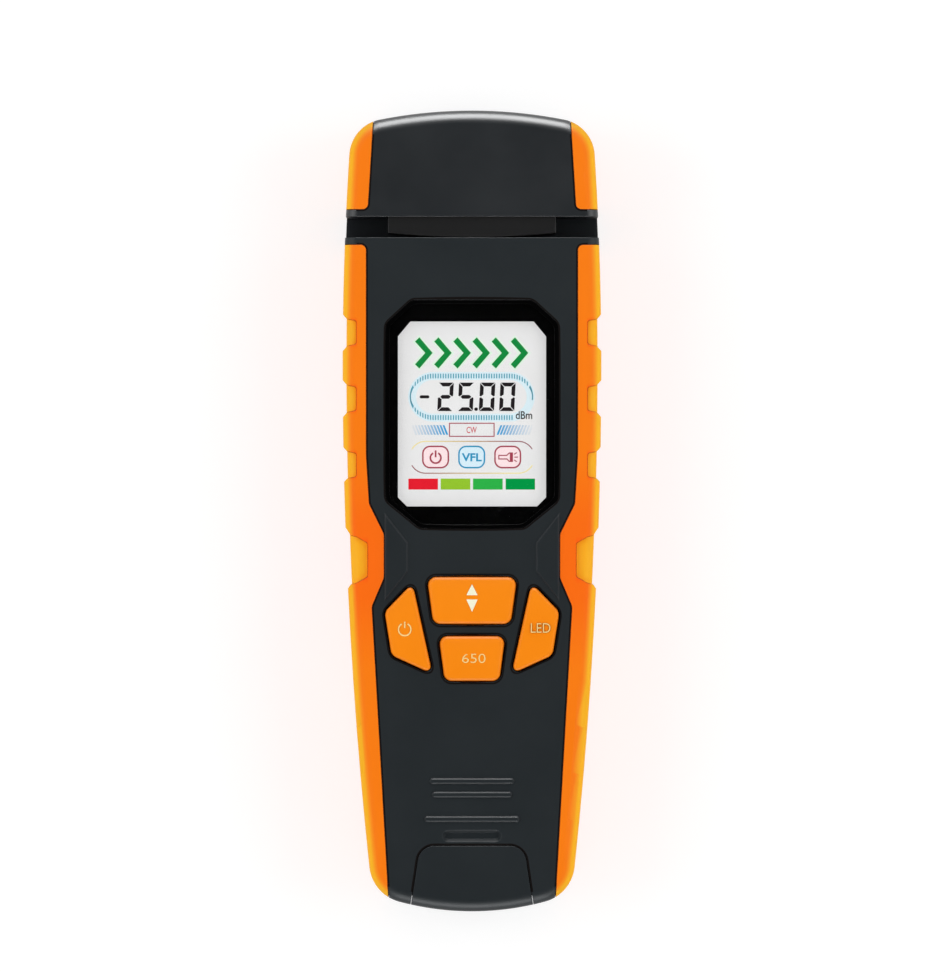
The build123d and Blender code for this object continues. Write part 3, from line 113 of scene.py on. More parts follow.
class IdentifierColours(bpy.types.PropertyGroup):
    """Colours of the finishes."""
    case: colour_value("Case", "Satin plastic of the case", (0.0088, 0.0112, 0.0140))
    grip: colour_value("Grip", "Rubber of the side grips", (1.0, 0.208, 0.0006))
    key: colour_value("Key", "Soft plastic of the keys", (1.0, 0.262, 0.001))
    legend: colour_value("Legend", "Print on the keys", (0.93, 0.92, 0.68))
    window: colour_value("Window", "Black print behind the window", (0.0003, 0.0003, 0.0004))
    ground: colour_value("Display ground", "Lit ground of the display", (0.79, 0.79, 0.79))
    arrows: colour_value("Arrows", "Direction arrows", paint(24, 134, 62))
    digits: colour_value("Digits", "Digits of the reading", paint(36, 32, 34))
    scale: colour_value("Scale", "Ticks round the reading", paint(84, 160, 182))
    maroon: colour_value("Maroon", "Lines of the icons", paint(160, 62, 80))
    blue: colour_value("Blue", "Lines of the middle icon", paint(38, 146, 190))


class IdentifierStage(bpy.types.PropertyGroup):
    """Camera and light of the studio."""
    lens: FloatProperty(
        name="Lens", description="Focal length of the camera", default=350.0, min=50.0, max=600.0)
    view_height: FloatProperty(
        name="View height", description="Height of what the camera sees at the front face",
        default=230.3 * MM, min=0.1, max=1.0, unit="LENGTH")
    view_middle: FloatVectorProperty(
        name="View middle", description="Point of the front face in the middle of the picture",
        default=(0.12 * MM, 5.92 * MM, 34.0 * MM), size=3, subtype="TRANSLATION")
    side_lamps: FloatProperty(
        name="Side lamps", description="Power of each large lamp at the sides",
        default=4.7, min=0.0, max=50.0, unit="POWER")
    end_lamps: FloatProperty(
        name="End lamps", description="Power of the low lamp beyond the tail, seen in reflections only",
        default=16.0, min=0.0, max=50.0, unit="POWER")


# Mesh helpers.

def new_faces(bm, known):
    return [face for face in bm.faces if face not in known]


def flat_face(bm, corners, height, segments=8):
    """A flat face at one height. A corner is (x, y) or (x, y, radius)."""
    known = set(bm.faces)
    verts = [bm.verts.new((corner[0], corner[1], height)) for corner in corners]
    bm.faces.new(verts)
    for vert, corner in zip(verts, corners):
        if len(corner) == 3 and corner[2] > 0:
            arms = [edge.other_vert(vert).co - vert.co for edge in vert.link_edges]
            reach = corner[2] / math.tan(arms[0].angle(arms[1]) / 2)
            bmesh.ops.bevel(
                bm, geom=[vert], offset=reach, offset_type="OFFSET", affect="VERTICES",
                segments=segments, profile=0.5, material=-1)
    return new_faces(bm, known)[0]


def lift(bm, faces, rise):
    """Extrudes faces straight up by rise and returns the lifted faces."""
    lifted = bmesh.ops.extrude_face_region(bm, geom=list(faces))["geom"]
    verts = [item for item in lifted if isinstance(item, bmesh.types.BMVert)]
    bmesh.ops.translate(bm, verts=verts, vec=(0, 0, rise))
    return [item for item in lifted if isinstance(item, bmesh.types.BMFace)]


def plate(bm, corners, low, high, segments=8):
    """A flat plate from low to high."""
    return lift(bm, [flat_face(bm, corners, low, segments)], high - low)[0]


def box_corners(left, right, bottom, top, radius=0.0):
    return [(left, bottom, radius), (right, bottom, radius), (right, top, radius), (left, top, radius)]


def ring(bm, outer, inner, low, high, segments=8):
    """A flat plate with an opening. outer and inner are corner lists."""
    loops = []
    for corners in (outer, inner):
        face = flat_face(bm, corners, low, segments)
        loops += list(face.edges)
        bmesh.ops.delete(bm, geom=[face], context="FACES_ONLY")
    known = set(bm.faces)
    bmesh.ops.triangle_fill(bm, use_beauty=True, use_dissolve=False, edges=loops)
    return lift(bm, new_faces(bm, known), high - low)


def arc_bar(bm, centre, radius, width, start, sweep, low, high, steps=24):
    """A bent bar of even width round a centre, from one angle through a sweep, in degrees."""
    inner, outer = radius - width / 2, radius + width / 2
    known = set(bm.verts)
    corners = [(inner, low), (outer, low), (outer, high), (inner, high)]
    verts = [bm.verts.new((centre[0] + x, centre[1], z)) for x, z in corners]
    profile = bm.faces.new(verts)
    turned = Matrix.Rotation(math.radians(start), 3, "Z")
    middle = Vector((centre[0], centre[1], 0))
    bmesh.ops.rotate(bm, verts=verts, cent=middle, matrix=turned)
    bmesh.ops.spin(
        bm, geom=[profile, *profile.edges, *profile.verts], cent=middle, axis=(0, 0, 1),
        angle=math.radians(sweep), steps=steps, use_merge=False, use_duplicate=False)
    return [vert for vert in bm.verts if vert not in known]


def piece(name, bm, body, material, replaces=(), sharp=35.0):
    """Closes and smooths a mesh and makes it a piece that rides on a body."""
    bmesh.ops.remove_doubles(bm, verts=bm.verts, dist=0.0001 * MM)
    bmesh.ops.recalc_face_normals(bm, faces=bm.faces)
    mesh = bpy.data.meshes.new(name)
    bm.to_mesh(mesh)
    bm.free()
    for polygon in mesh.polygons:
        polygon.use_smooth = True
    mesh.set_sharp_from_angle(angle=math.radians(sharp))
    mesh.materials.append(material)
    made = bpy.data.objects.new(name, mesh)
    bpy.context.scene.collection.objects.link(made)
    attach(made, body)
    if replaces:
        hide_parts(*replaces)
    return made


def lettering(bm, words, height, middle, low, high, weight=0.0, width=None):
    """Adds words as flat raised letters of a given height, centred on a point."""
    curve = bpy.data.curves.new("words", "FONT")
    curve.body = words
    curve.extrude = 0.5
    curve.offset = weight
    curve.resolution_u = 4
    holder = bpy.data.objects.new("words", curve)
    bpy.context.scene.collection.objects.link(holder)
    bpy.context.view_layer.update()
    mesh = bpy.data.meshes.new_from_object(holder.evaluated_get(bpy.context.evaluated_depsgraph_get()))
    known = set(bm.verts)
    bm.from_mesh(mesh)
    bpy.data.objects.remove(holder)
    bpy.data.curves.remove(curve)
    bpy.data.meshes.remove(mesh)
    verts = [vert for vert in bm.verts if vert not in known]
    lows = [min(vert.co[axis] for vert in verts) for axis in range(3)]
    highs = [max(vert.co[axis] for vert in verts) for axis in range(3)]
    tall = height / (highs[1] - lows[1])
    wide = tall if width is None else width / (highs[0] - lows[0])
    centre = Vector([(lows[axis] + highs[axis]) / 2 for axis in range(3)])
    bmesh.ops.translate(bm, verts=verts, vec=-centre)
    bmesh.ops.scale(bm, verts=verts, vec=(wide, tall, (high - low) / (highs[2] - lows[2])))
    bmesh.ops.translate(bm, verts=verts, vec=(middle[0], middle[1], (low + high) / 2))


# Material helpers.

def node(tree, kind, values=None, **settings):
    made = tree.nodes.new(kind)
    for key, value in settings.items():
        setattr(made, key, value)
    for socket, value in (values or {}).items():
        made.inputs[socket].default_value = value
    return made


def shared_group(name, inputs, outputs):
    """A new node group with its sockets, and its input and output nodes."""
    tree = bpy.data.node_groups.new(name, "ShaderNodeTree")
    for label, kind, default in inputs:
        made = tree.interface.new_socket(name=label, in_out="INPUT", socket_type=kind)
        if default is not None:
            made.default_value = default
    for label, kind in outputs:
        tree.interface.new_socket(name=label, in_out="OUTPUT", socket_type=kind)
    return tree, tree.nodes.new("NodeGroupInput"), tree.nodes.new("NodeGroupOutput")


def grain_group():
    """Fine grain of a moulded face, and a slow drift of tone across it."""
    tree, given, result = shared_group(
        "Moulded grain",
        [
            ("Place", "NodeSocketVector", None),
            ("Grain", "NodeSocketFloat", 4000.0),
            ("Drift", "NodeSocketFloat", 60.0),
        ],
        [("Height", "NodeSocketFloat"), ("Tone", "NodeSocketFloat")])
    fine = node(tree, "ShaderNodeTexNoise", {"Detail": 2.0, "Roughness": 0.55})
    slow = node(tree, "ShaderNodeTexNoise", {"Detail": 4.0, "Roughness": 0.6})
    tree.links.new(given.outputs["Place"], fine.inputs["Vector"])
    tree.links.new(given.outputs["Grain"], fine.inputs["Scale"])
    tree.links.new(given.outputs["Place"], slow.inputs["Vector"])
    tree.links.new(given.outputs["Drift"], slow.inputs["Scale"])
    tree.links.new(fine.outputs["Fac"], result.inputs["Height"])
    tree.links.new(slow.outputs["Fac"], result.inputs["Tone"])
    return tree


def edge_group():
    """Softened edges: a mask that is white along the edges, for wear and for painted edge highlight and
    shade, and the rounded normal.
    """
    tree, given, result = shared_group(
        "Soft edges",
        [
            ("Place", "NodeSocketVector", None),
            ("Radius", "NodeSocketFloat", 0.2 * MM),
            ("Patch scale", "NodeSocketFloat", 300.0),
        ],
        [("Edge", "NodeSocketFloat"), ("Normal", "NodeSocketVector")])
    rounded = node(tree, "ShaderNodeBevel", samples=6)
    plain = node(tree, "ShaderNodeNewGeometry")
    alike = node(tree, "ShaderNodeVectorMath", operation="DOT_PRODUCT")
    band = node(
        tree, "ShaderNodeMapRange", {"From Min": 0.985, "From Max": 0.82}, interpolation_type="SMOOTHSTEP")
    patches = node(tree, "ShaderNodeTexNoise", {"Detail": 3.0})
    uneven = node(
        tree, "ShaderNodeMapRange", {"From Min": 0.3, "From Max": 0.7, "To Min": 0.55, "To Max": 1.0})
    mask = node(tree, "ShaderNodeMath", operation="MULTIPLY")
    tree.links.new(given.outputs["Radius"], rounded.inputs["Radius"])
    tree.links.new(rounded.outputs["Normal"], alike.inputs[0])
    tree.links.new(plain.outputs["Normal"], alike.inputs[1])
    tree.links.new(alike.outputs["Value"], band.inputs["Value"])
    tree.links.new(given.outputs["Place"], patches.inputs["Vector"])
    tree.links.new(given.outputs["Patch scale"], patches.inputs["Scale"])
    tree.links.new(patches.outputs["Fac"], uneven.inputs["Value"])
    tree.links.new(band.outputs["Result"], mask.inputs[0])
    tree.links.new(uneven.outputs["Result"], mask.inputs[1])
    tree.links.new(mask.outputs["Value"], result.inputs["Edge"])
    tree.links.new(rounded.outputs["Normal"], result.inputs["Normal"])
    return tree


def hollow_group():
    """A mask that is white down in seams and narrow gaps, where painted shade goes."""
    tree, given, result = shared_group(
        "Seam shade",
        [("Reach", "NodeSocketFloat", 0.6 * MM)],
        [("Hollow", "NodeSocketFloat")])
    open_sky = node(tree, "ShaderNodeAmbientOcclusion", samples=8)
    shade = node(
        tree, "ShaderNodeMapRange", {"From Min": 0.85, "From Max": 0.35}, interpolation_type="SMOOTHSTEP")
    tree.links.new(given.outputs["Reach"], open_sky.inputs["Distance"])
    tree.links.new(open_sky.outputs["AO"], shade.inputs["Value"])
    tree.links.new(shade.outputs["Result"], result.inputs["Hollow"])
    return tree


GROUPS = {}


def placed(tree, key, values, place=None):
    """Places a shared group in a material with its own values."""
    made = tree.nodes.new("ShaderNodeGroup")
    made.node_tree = GROUPS[key]
    for socket, value in values.items():
        made.inputs[socket].default_value = value
    if place is not None:
        tree.links.new(place, made.inputs["Place"])
    return made


def blank_material(name):
    material = bpy.data.materials.new(name)
    material.use_nodes = True
    tree = material.node_tree
    tree.nodes.clear()
    output = tree.nodes.new("ShaderNodeOutputMaterial")
    skin = tree.nodes.new("ShaderNodeBsdfPrincipled")
    tree.links.new(skin.outputs["BSDF"], output.inputs["Surface"])
    place = tree.nodes.new("ShaderNodeTexCoord").outputs["Object"]
    return material, tree, skin, place, output


def blended(tree, first, second, factor):
    """A colour that goes from first to second. Each is a colour or a socket; factor is a socket."""
    mix = node(tree, "ShaderNodeMix", data_type="RGBA")
    for name, value in (("A_Color", first), ("B_Color", second)):
        socket = next(item for item in mix.inputs if item.identifier == name)
        if isinstance(value, bpy.types.NodeSocket):
            tree.links.new(value, socket)
        else:
            socket.default_value = (*value[:3], 1.0)
    tree.links.new(factor, next(item for item in mix.inputs if item.identifier == "Factor_Float"))
    return next(item for item in mix.outputs if item.identifier == "Result_Color")


def scaled(colour, share):
    return tuple(min(1.0, part * share) for part in colour[:3])


def ranged(tree, source, low, high, start=0.0, end=1.0):
    """A value that goes from low to high as its source goes from start to end."""
    made = node(
        tree, "ShaderNodeMapRange", {"From Min": start, "From Max": end, "To Min": low, "To Max": high})
    tree.links.new(source, made.inputs["Value"])
    return made.outputs["Result"]


def axes(tree, place):
    """The X, Y and Z of a place, each a socket found by its letter."""
    parts = node(tree, "ShaderNodeSeparateXYZ")
    tree.links.new(place, parts.inputs["Vector"])
    return parts.outputs


def bumped(tree, skin, height, edges, strength, depth):
    """Raises a height over the softened edges. depth is in mm."""
    bump = node(tree, "ShaderNodeBump", {"Strength": strength, "Distance": depth * MM})
    tree.links.new(height, bump.inputs["Height"])
    tree.links.new(edges.outputs["Normal"], bump.inputs["Normal"])
    tree.links.new(bump.outputs["Normal"], skin.inputs["Normal"])


# The heights in mm where a rim band's painted colour starts, is full, is last full and is gone, from the top
# down: a painted golden highlight on the grips, painted shade on the keys.
GRIP_RIM_HIGHLIGHT = (33.85, 33.1, 31.3, 29.6)
KEY_RIM_SHADE = (34.5, 33.9, 31.0, 30.0)


def moulded(name, colour, roughness, edge=None, hollow=None, grain=4000.0, grain_height=0.004, drift=60.0,
            variety=0.06, radius=0.2, reach=0.6, specular=0.5, rim=None, painted_rim_heights=GRIP_RIM_HIGHLIGHT, patch=None):
    """Moulded plastic or rubber: grain, drifting tone, softened edges whose colour is partly wear and partly
    painted highlight and shade, painted shade in the seams, and a rim band that paints a highlight on the
    grips and shade on the keys.

    Lengths are in mm. patch is a function that changes the body's colour from place to place.
    """
    material, tree, skin, place, _ = blank_material(name)
    surface = placed(tree, "grain", {"Grain": grain, "Drift": drift}, place)
    edges = placed(tree, "edge", {"Radius": radius * MM}, place)
    seams = placed(tree, "hollow", {"Reach": reach * MM})
    tone = ranged(tree, surface.outputs["Tone"], 0, 1, 0.3, 0.7)
    body = blended(tree, scaled(colour, 1 - variety), scaled(colour, 1 + variety), tone)
    # On the grips, patch paints shade into the finger hollows.
    if patch is not None:
        body = patch(tree, place, body)
    # Rim band by height: a painted highlight along the grips' rounded rim, painted shade down the keys'
    # sides.
    if rim is not None:
        rise = axes(tree, place)["Z"]
        start, full, low, gone = (height * MM for height in painted_rim_heights)
        band = worked(
            tree, "MULTIPLY", ranged(tree, rise, 0, 0.9, start, full), ranged(tree, rise, 0, 1, gone, low))
        body = blended(tree, body, rim, band)
    # Edge colour: painted highlight on the dark plastics, painted shade along the grips' edges, and some
    # wear.
    body = blended(tree, body, edge or scaled(colour, 1.5), edges.outputs["Edge"])
    # Painted shade down in the seams and gaps.
    body = blended(tree, body, hollow or scaled(colour, 0.4), seams.outputs["Hollow"])
    tree.links.new(body, skin.inputs["Base Color"])
    dull = ranged(tree, surface.outputs["Tone"], roughness - 0.02, roughness + 0.02, 0.3, 0.7)
    tree.links.new(dull, skin.inputs["Roughness"])
    bumped(tree, skin, surface.outputs["Height"], edges, 1.0, grain_height)
    skin.inputs["Specular IOR Level"].default_value = specular
    return material


def worked(tree, operation, first, second=None):
    """A value worked out from a socket and a socket or number."""
    made = node(tree, "ShaderNodeMath", operation=operation)
    tree.links.new(first, made.inputs[0])
    if isinstance(second, bpy.types.NodeSocket):
        tree.links.new(second, made.inputs[1])
    elif second is not None:
        made.inputs[1].default_value = second
    return made.outputs["Value"]


FLUTE_TOP = 42.3 * MM
FLUTE_MIDDLE = 26.6 * MM
FLUTE_PITCH = 15.7 * MM
WAIST_HOLLOW = -11.6 * MM
FLUTE_SHADE = (1.0, 0.105, 0.0003)
WAIST_SHADE = (1.0, 0.108, 0.0003)
WAIST_SOFT_SHADE = (1.0, 0.135, 0.0004)


def painted_hollow_shade(tree, place, body):
    """Painted shade: darker, redder orange in the finger hollows and, more faintly, round the waist."""
    parts = axes(tree, place)
    side = worked(tree, "ABSOLUTE", parts["X"])
    height = parts["Y"]
    from_waist = worked(tree, "ABSOLUTE", worked(tree, "SUBTRACT", height, WAIST_HOLLOW))
    from_middle = worked(tree, "ABSOLUTE", worked(tree, "SUBTRACT", height, FLUTE_MIDDLE))
    from_flute = worked(tree, "PINGPONG", worked(tree, "SUBTRACT", height, FLUTE_TOP), FLUTE_PITCH / 2)
    body = blended(tree, body, WAIST_SOFT_SHADE, ranged(tree, from_waist, 0.75, 0, 9 * MM, 26 * MM))
    waist = worked(
        tree, "MULTIPLY", ranged(tree, from_waist, 1, 0, 4.2 * MM, 5.6 * MM),
        ranged(tree, side, 0, 1, 24.4 * MM, 24.9 * MM))
    body = blended(tree, body, WAIST_SHADE, waist)
    flutes = worked(
        tree, "MULTIPLY", ranged(tree, from_flute, 0.85, 0, 2.7 * MM, 3.7 * MM),
        ranged(tree, side, 0, 1, 27.0 * MM, 27.6 * MM))
    flutes = worked(tree, "MULTIPLY", flutes, ranged(tree, from_middle, 1, 0, 20 * MM, 21 * MM))
    return blended(tree, body, FLUTE_SHADE, flutes)


def metal(name, colour, roughness, lay=(400.0, 400.0, 9000.0), variety=0.1, marks=0.006):
    """Worked metal: fine lines along one direction, with drifting tone and roughness."""
    material, tree, skin, place, _ = blank_material(name)
    surface = placed(tree, "grain", {"Grain": 900.0, "Drift": 120.0}, place)
    edges = placed(tree, "edge", {"Radius": 0.12 * MM}, place)
    seams = placed(tree, "hollow", {"Reach": 0.5 * MM})
    drawn = node(tree, "ShaderNodeMapping", {"Scale": lay})
    tree.links.new(place, drawn.inputs["Vector"])
    lines = node(tree, "ShaderNodeTexNoise", {"Scale": 1.0, "Detail": 3.0})
    tree.links.new(drawn.outputs["Vector"], lines.inputs["Vector"])
    body = blended(tree, scaled(colour, 1 - variety), scaled(colour, 1 + variety), surface.outputs["Tone"])
    # Lighter edges, partly wear and partly painted highlight, and painted shade down in the seams.
    body = blended(tree, body, scaled(colour, 1.25), edges.outputs["Edge"])
    body = blended(tree, body, scaled(colour, 0.3), seams.outputs["Hollow"])
    tree.links.new(body, skin.inputs["Base Color"])
    dull = ranged(tree, lines.outputs["Fac"], roughness - 0.08, roughness + 0.1, 0.3, 0.7)
    tree.links.new(dull, skin.inputs["Roughness"])
    bumped(tree, skin, lines.outputs["Fac"], edges, 0.6, marks)
    skin.inputs["Metallic"].default_value = 1.0
    return material


def clear(name, tint=(1.0, 1.0, 1.0), haze=0.02):
    """Clear moulded plastic that lets the light through to what lies behind it."""
    material, tree, skin, place, output = blank_material(name)
    surface = placed(tree, "grain", {"Grain": 1500.0, "Drift": 80.0}, place)
    tone = surface.outputs["Tone"]
    tree.links.new(blended(tree, scaled(tint, 0.985), tint, tone), skin.inputs["Base Color"])
    tree.links.new(ranged(tree, tone, 0.0, haze, 0.45, 0.75), skin.inputs["Roughness"])
    skin.inputs["IOR"].default_value = 1.45
    skin.inputs["Transmission Weight"].default_value = 1.0
    through = node(tree, "ShaderNodeBsdfTransparent")
    path = node(tree, "ShaderNodeLightPath")
    either = node(tree, "ShaderNodeMixShader")
    straight = node(tree, "ShaderNodeMath", operation="ADD", use_clamp=True)
    tree.links.new(path.outputs["Is Shadow Ray"], straight.inputs[0])
    tree.links.new(path.outputs["Is Diffuse Ray"], straight.inputs[1])
    tree.links.new(straight.outputs["Value"], either.inputs[0])
    tree.links.new(skin.outputs["BSDF"], either.inputs[1])
    tree.links.new(through.outputs["BSDF"], either.inputs[2])
    tree.links.new(either.outputs["Shader"], output.inputs["Surface"])
    return material


DISPLAY_GLOW = 0.75
DISPLAY_DIMMING = 0.4


def lit(name, colour, far=None, start=0.0, end=1.0):
    """A lit mark of the display. With a far colour it fades from one to the other across the display."""
    material, tree, skin, place, _ = blank_material(name)
    surface = placed(tree, "grain", {"Grain": 6000.0, "Drift": 150.0}, place)
    if far is None:
        body = blended(tree, scaled(colour, 0.97), scaled(colour, 1.02), surface.outputs["Tone"])
    else:
        body = blended(tree, colour, far, ranged(tree, axes(tree, place)["X"], 0, 1, start, end))
        body = blended(tree, body, scaled(far, 0.98), ranged(tree, surface.outputs["Height"], 0, 0.08))
    dimmed = node(tree, "ShaderNodeHueSaturation", {"Value": DISPLAY_DIMMING})
    tree.links.new(body, dimmed.inputs["Color"])
    tree.links.new(dimmed.outputs["Color"], skin.inputs["Base Color"])
    tree.links.new(body, skin.inputs["Emission Color"])
    skin.inputs["Emission Strength"].default_value = DISPLAY_GLOW
    tree.links.new(ranged(tree, surface.outputs["Tone"], 0.5, 0.65), skin.inputs["Roughness"])
    skin.inputs["Specular IOR Level"].default_value = 0.0
    return material


# Finishes of the solids.

MATERIALS = {}
# The front shell and flap get a lighter copy of the case plastic and the head cover a darker one: painted
# light and shade, besides a real difference in gloss.
LIT_AND_SHADED_COPIES = {"front_shell": "front_plastic", "port_flap": "front_plastic", "head_cover": "head_plastic"}


def finish_materials(colours):
    """One material for each of the record's finishes."""
    GROUPS.update(grain=grain_group(), edge=edge_group(), hollow=hollow_group())
    case = colours.case
    grip = colours.grip
    key = colours.key
    MATERIALS.update(
        # The lighter edge colours of the dark plastics paint highlights on their edges; the seam colours
        # paint shade.
        front_plastic=moulded(
            "Front satin, lit copy", (0.0128, 0.0172, 0.0200), 0.42, edge=scaled(case, 2.6), hollow=scaled(case, 0.25),
            grain=3600.0, grain_height=0.006, variety=0.03, reach=0.7, specular=0.18),
        head_plastic=moulded(
            "Head satin, shaded copy", (0.0015, 0.0042, 0.0068), 0.38, edge=scaled(case, 1.4), hollow=scaled(case, 0.25),
            grain=3600.0, grain_height=0.005, variety=0.03, reach=0.7, specular=0.52),
        seam_line=moulded(
            "Painted seam shadow", (0.0032, 0.0018, 0.0014), 0.8, grain_height=0.002, variety=0.05, radius=0.03,
            reach=0.1, specular=0.05),
        case_plastic=moulded(
            "Case satin", case, 0.36, edge=scaled(case, 1.4), hollow=scaled(case, 0.25), grain=3600.0,
            grain_height=0.006, variety=0.03, reach=0.7),
        # Grip: the darker edges and seams are painted shade, the golden rim band a painted highlight.
        grip_rubber=moulded(
            "Grip rubber", grip, 0.5, edge=(0.22, 0.025, 0.001), hollow=(0.60, 0.065, 0.0004),
            grain=3000.0, variety=0.02, radius=0.25, reach=0.5, specular=0.1, rim=(1.0, 0.50, 0.016),
            patch=painted_hollow_shade),
        # Keys: the darker rim band and the seams are painted shade.
        key_plastic=moulded(
            "Key satin", key, 0.45, edge=(1.0, 0.26, 0.003), hollow=(0.16, 0.015, 0.001), grain=4200.0,
            grain_height=0.003, variety=0.02, reach=0.7, specular=0.12, rim=(0.50, 0.08, 0.001),
            painted_rim_heights=KEY_RIM_SHADE),
        window_plastic=moulded(
            "Window black", colours.window, 0.3, edge=(0.004, 0.004, 0.004), grain=900.0,
            grain_height=0.0004, drift=40.0, radius=0.12, reach=0.3, specular=0.05),
        frame_plastic=moulded("Inner frame", (0.52, 0.52, 0.50), 0.55, grain_height=0.005, variety=0.04),
        board=moulded(
            "Circuit board", (0.012, 0.10, 0.035), 0.35, edge=(0.3, 0.28, 0.15), grain=1200.0,
            grain_height=0.01, drift=250.0, variety=0.25),
        chip_plastic=moulded(
            "Chip black", (0.014, 0.014, 0.015), 0.5, edge=(0.05, 0.05, 0.05), grain=5000.0,
            grain_height=0.005),
        sensor_plastic=moulded(
            "Sensor black", (0.0075, 0.0078, 0.0085), 0.38, edge=(0.03, 0.032, 0.036), grain=4200.0),
        jaw_plastic=moulded(
            "Jaw satin", (0.0068, 0.0068, 0.0074), 0.5, edge=(0.022, 0.022, 0.024), grain=4200.0,
            grain_height=0.005, radius=0.3),
        pad_rubber=moulded("Pad rubber", (0.016, 0.016, 0.016), 0.8, grain=2600.0, grain_height=0.02),
        cell_jacket=cell_jacket(),
        display_glass=lit("Display ground", colours.ground),
        clear_plastic=clear("Clear lens", haze=0.04),
        window_pane=clear("Window pane"),
        port_metal=metal("Port aluminium", (0.60, 0.60, 0.62), 0.3, lay=(9000.0, 400.0, 9000.0)),
        steel=metal("Zinc plated steel", (0.52, 0.52, 0.50), 0.34),
        contact_metal=metal("Nickel contact", (0.66, 0.62, 0.53), 0.28, lay=(500.0, 7000.0, 500.0)),
        legend_warm=moulded(
            "Warm legend print", (0.97, 0.66, 0.22), 0.5, grain_height=0.002, variety=0.02, reach=0.1,
            radius=0.03),
        legend=moulded(
            "Legend print", colours.legend, 0.5, grain_height=0.002, variety=0.02, reach=0.1, radius=0.03),
    )


def cell_jacket():
    """A plain cell sleeve: graphite with a pale band towards its plus end."""
    material, tree, skin, place, _ = blank_material("Cell sleeve")
    surface = placed(tree, "grain", {"Grain": 2500.0, "Drift": 150.0}, place)
    edges = placed(tree, "edge", {"Radius": 0.15 * MM}, place)
    band = ranged(tree, axes(tree, place)["Y"], 0, 1, -40.2 * MM, -39.8 * MM)
    body = blended(tree, (0.035, 0.042, 0.055), (0.045, 0.054, 0.07), surface.outputs["Tone"])
    body = blended(tree, body, (0.42, 0.43, 0.45), band)
    body = blended(tree, body, (0.7, 0.7, 0.7), edges.outputs["Edge"])
    tree.links.new(body, skin.inputs["Base Color"])
    tree.links.new(ranged(tree, surface.outputs["Tone"], 0.22, 0.34), skin.inputs["Roughness"])
    tree.links.new(edges.outputs["Normal"], skin.inputs["Normal"])
    skin.inputs["Metallic"].default_value = 0.4
    return material


# Keys and their legends.

KEY_FLANGE_LOW = 29.4 * MM
KEY_FLANGE_HIGH = 30.4 * MM
KEY_STEM_LOW = 28.7 * MM
KEY_SPREAD = 3.4 * MM
KEY_STEP = 0.8 * MM
FLANGE_REACH = 0.8 * MM
FLANGE_CORNER = 0.6 * MM
STEM_HALF = 1.55 * MM
PART_GAP = 0.001 * MM


def in_mm(corners):
    return [tuple(value * MM for value in corner) for corner in corners]


LEFT_KEY = in_mm([(-14.1, -17.06, 1.2), (-20.7, -23.9, 2.2), (-19.07, -34.2, 2.2), (-9.36, -38.6, 1.2)])
RIGHT_KEY = [(-x, y, radius) for x, y, radius in LEFT_KEY]
SCROLL_KEY = in_mm([(-10.7, -15.6, 2.0), (-9.2, -26.8, 2.0), (9.2, -26.8, 2.0), (10.7, -15.6, 2.0)])
LASER_KEY = in_mm([(-7.9, -29.6, 1.9), (-6.5, -40.3, 1.9), (6.5, -40.3, 1.9), (7.9, -29.6, 1.9)])

# Each key's outline, its body, its stems in mm and how far its flange is lowered.
KEYS = {
    "power_key": (LEFT_KEY, "power_button", ((-16.0, -28.4),), 0.0),
    "lamp_key": (RIGHT_KEY, "lamp_button", ((16.0, -28.4),), 0.0),
    "scroll_key": (SCROLL_KEY, "scroll_rocker", ((0.0, -17.8), (0.0, -24.6)), 0.4 * MM),
    "laser_key": (LASER_KEY, "laser_button", ((0.0, -34.95),), 0.0),
}


def centre_of(corners):
    """The mean place of an outline's corners."""
    count = len(corners)
    return Vector((sum(c[0] for c in corners) / count, sum(c[1] for c in corners) / count))


def inside(corners, point):
    """How far a point lies inside the straight sides of an outline."""
    middle = centre_of(corners)
    depth = []
    for first, second in zip(corners, corners[1:] + corners[:1]):
        start, side = Vector(first[:2]), Vector(second[:2]) - Vector(first[:2])
        across = Vector((-side.y, side.x)).normalized()
        if across.dot(middle - start) < 0:
            across.negate()
        depth.append(across.dot(Vector(point[:2]) - start))
    return min(depth)


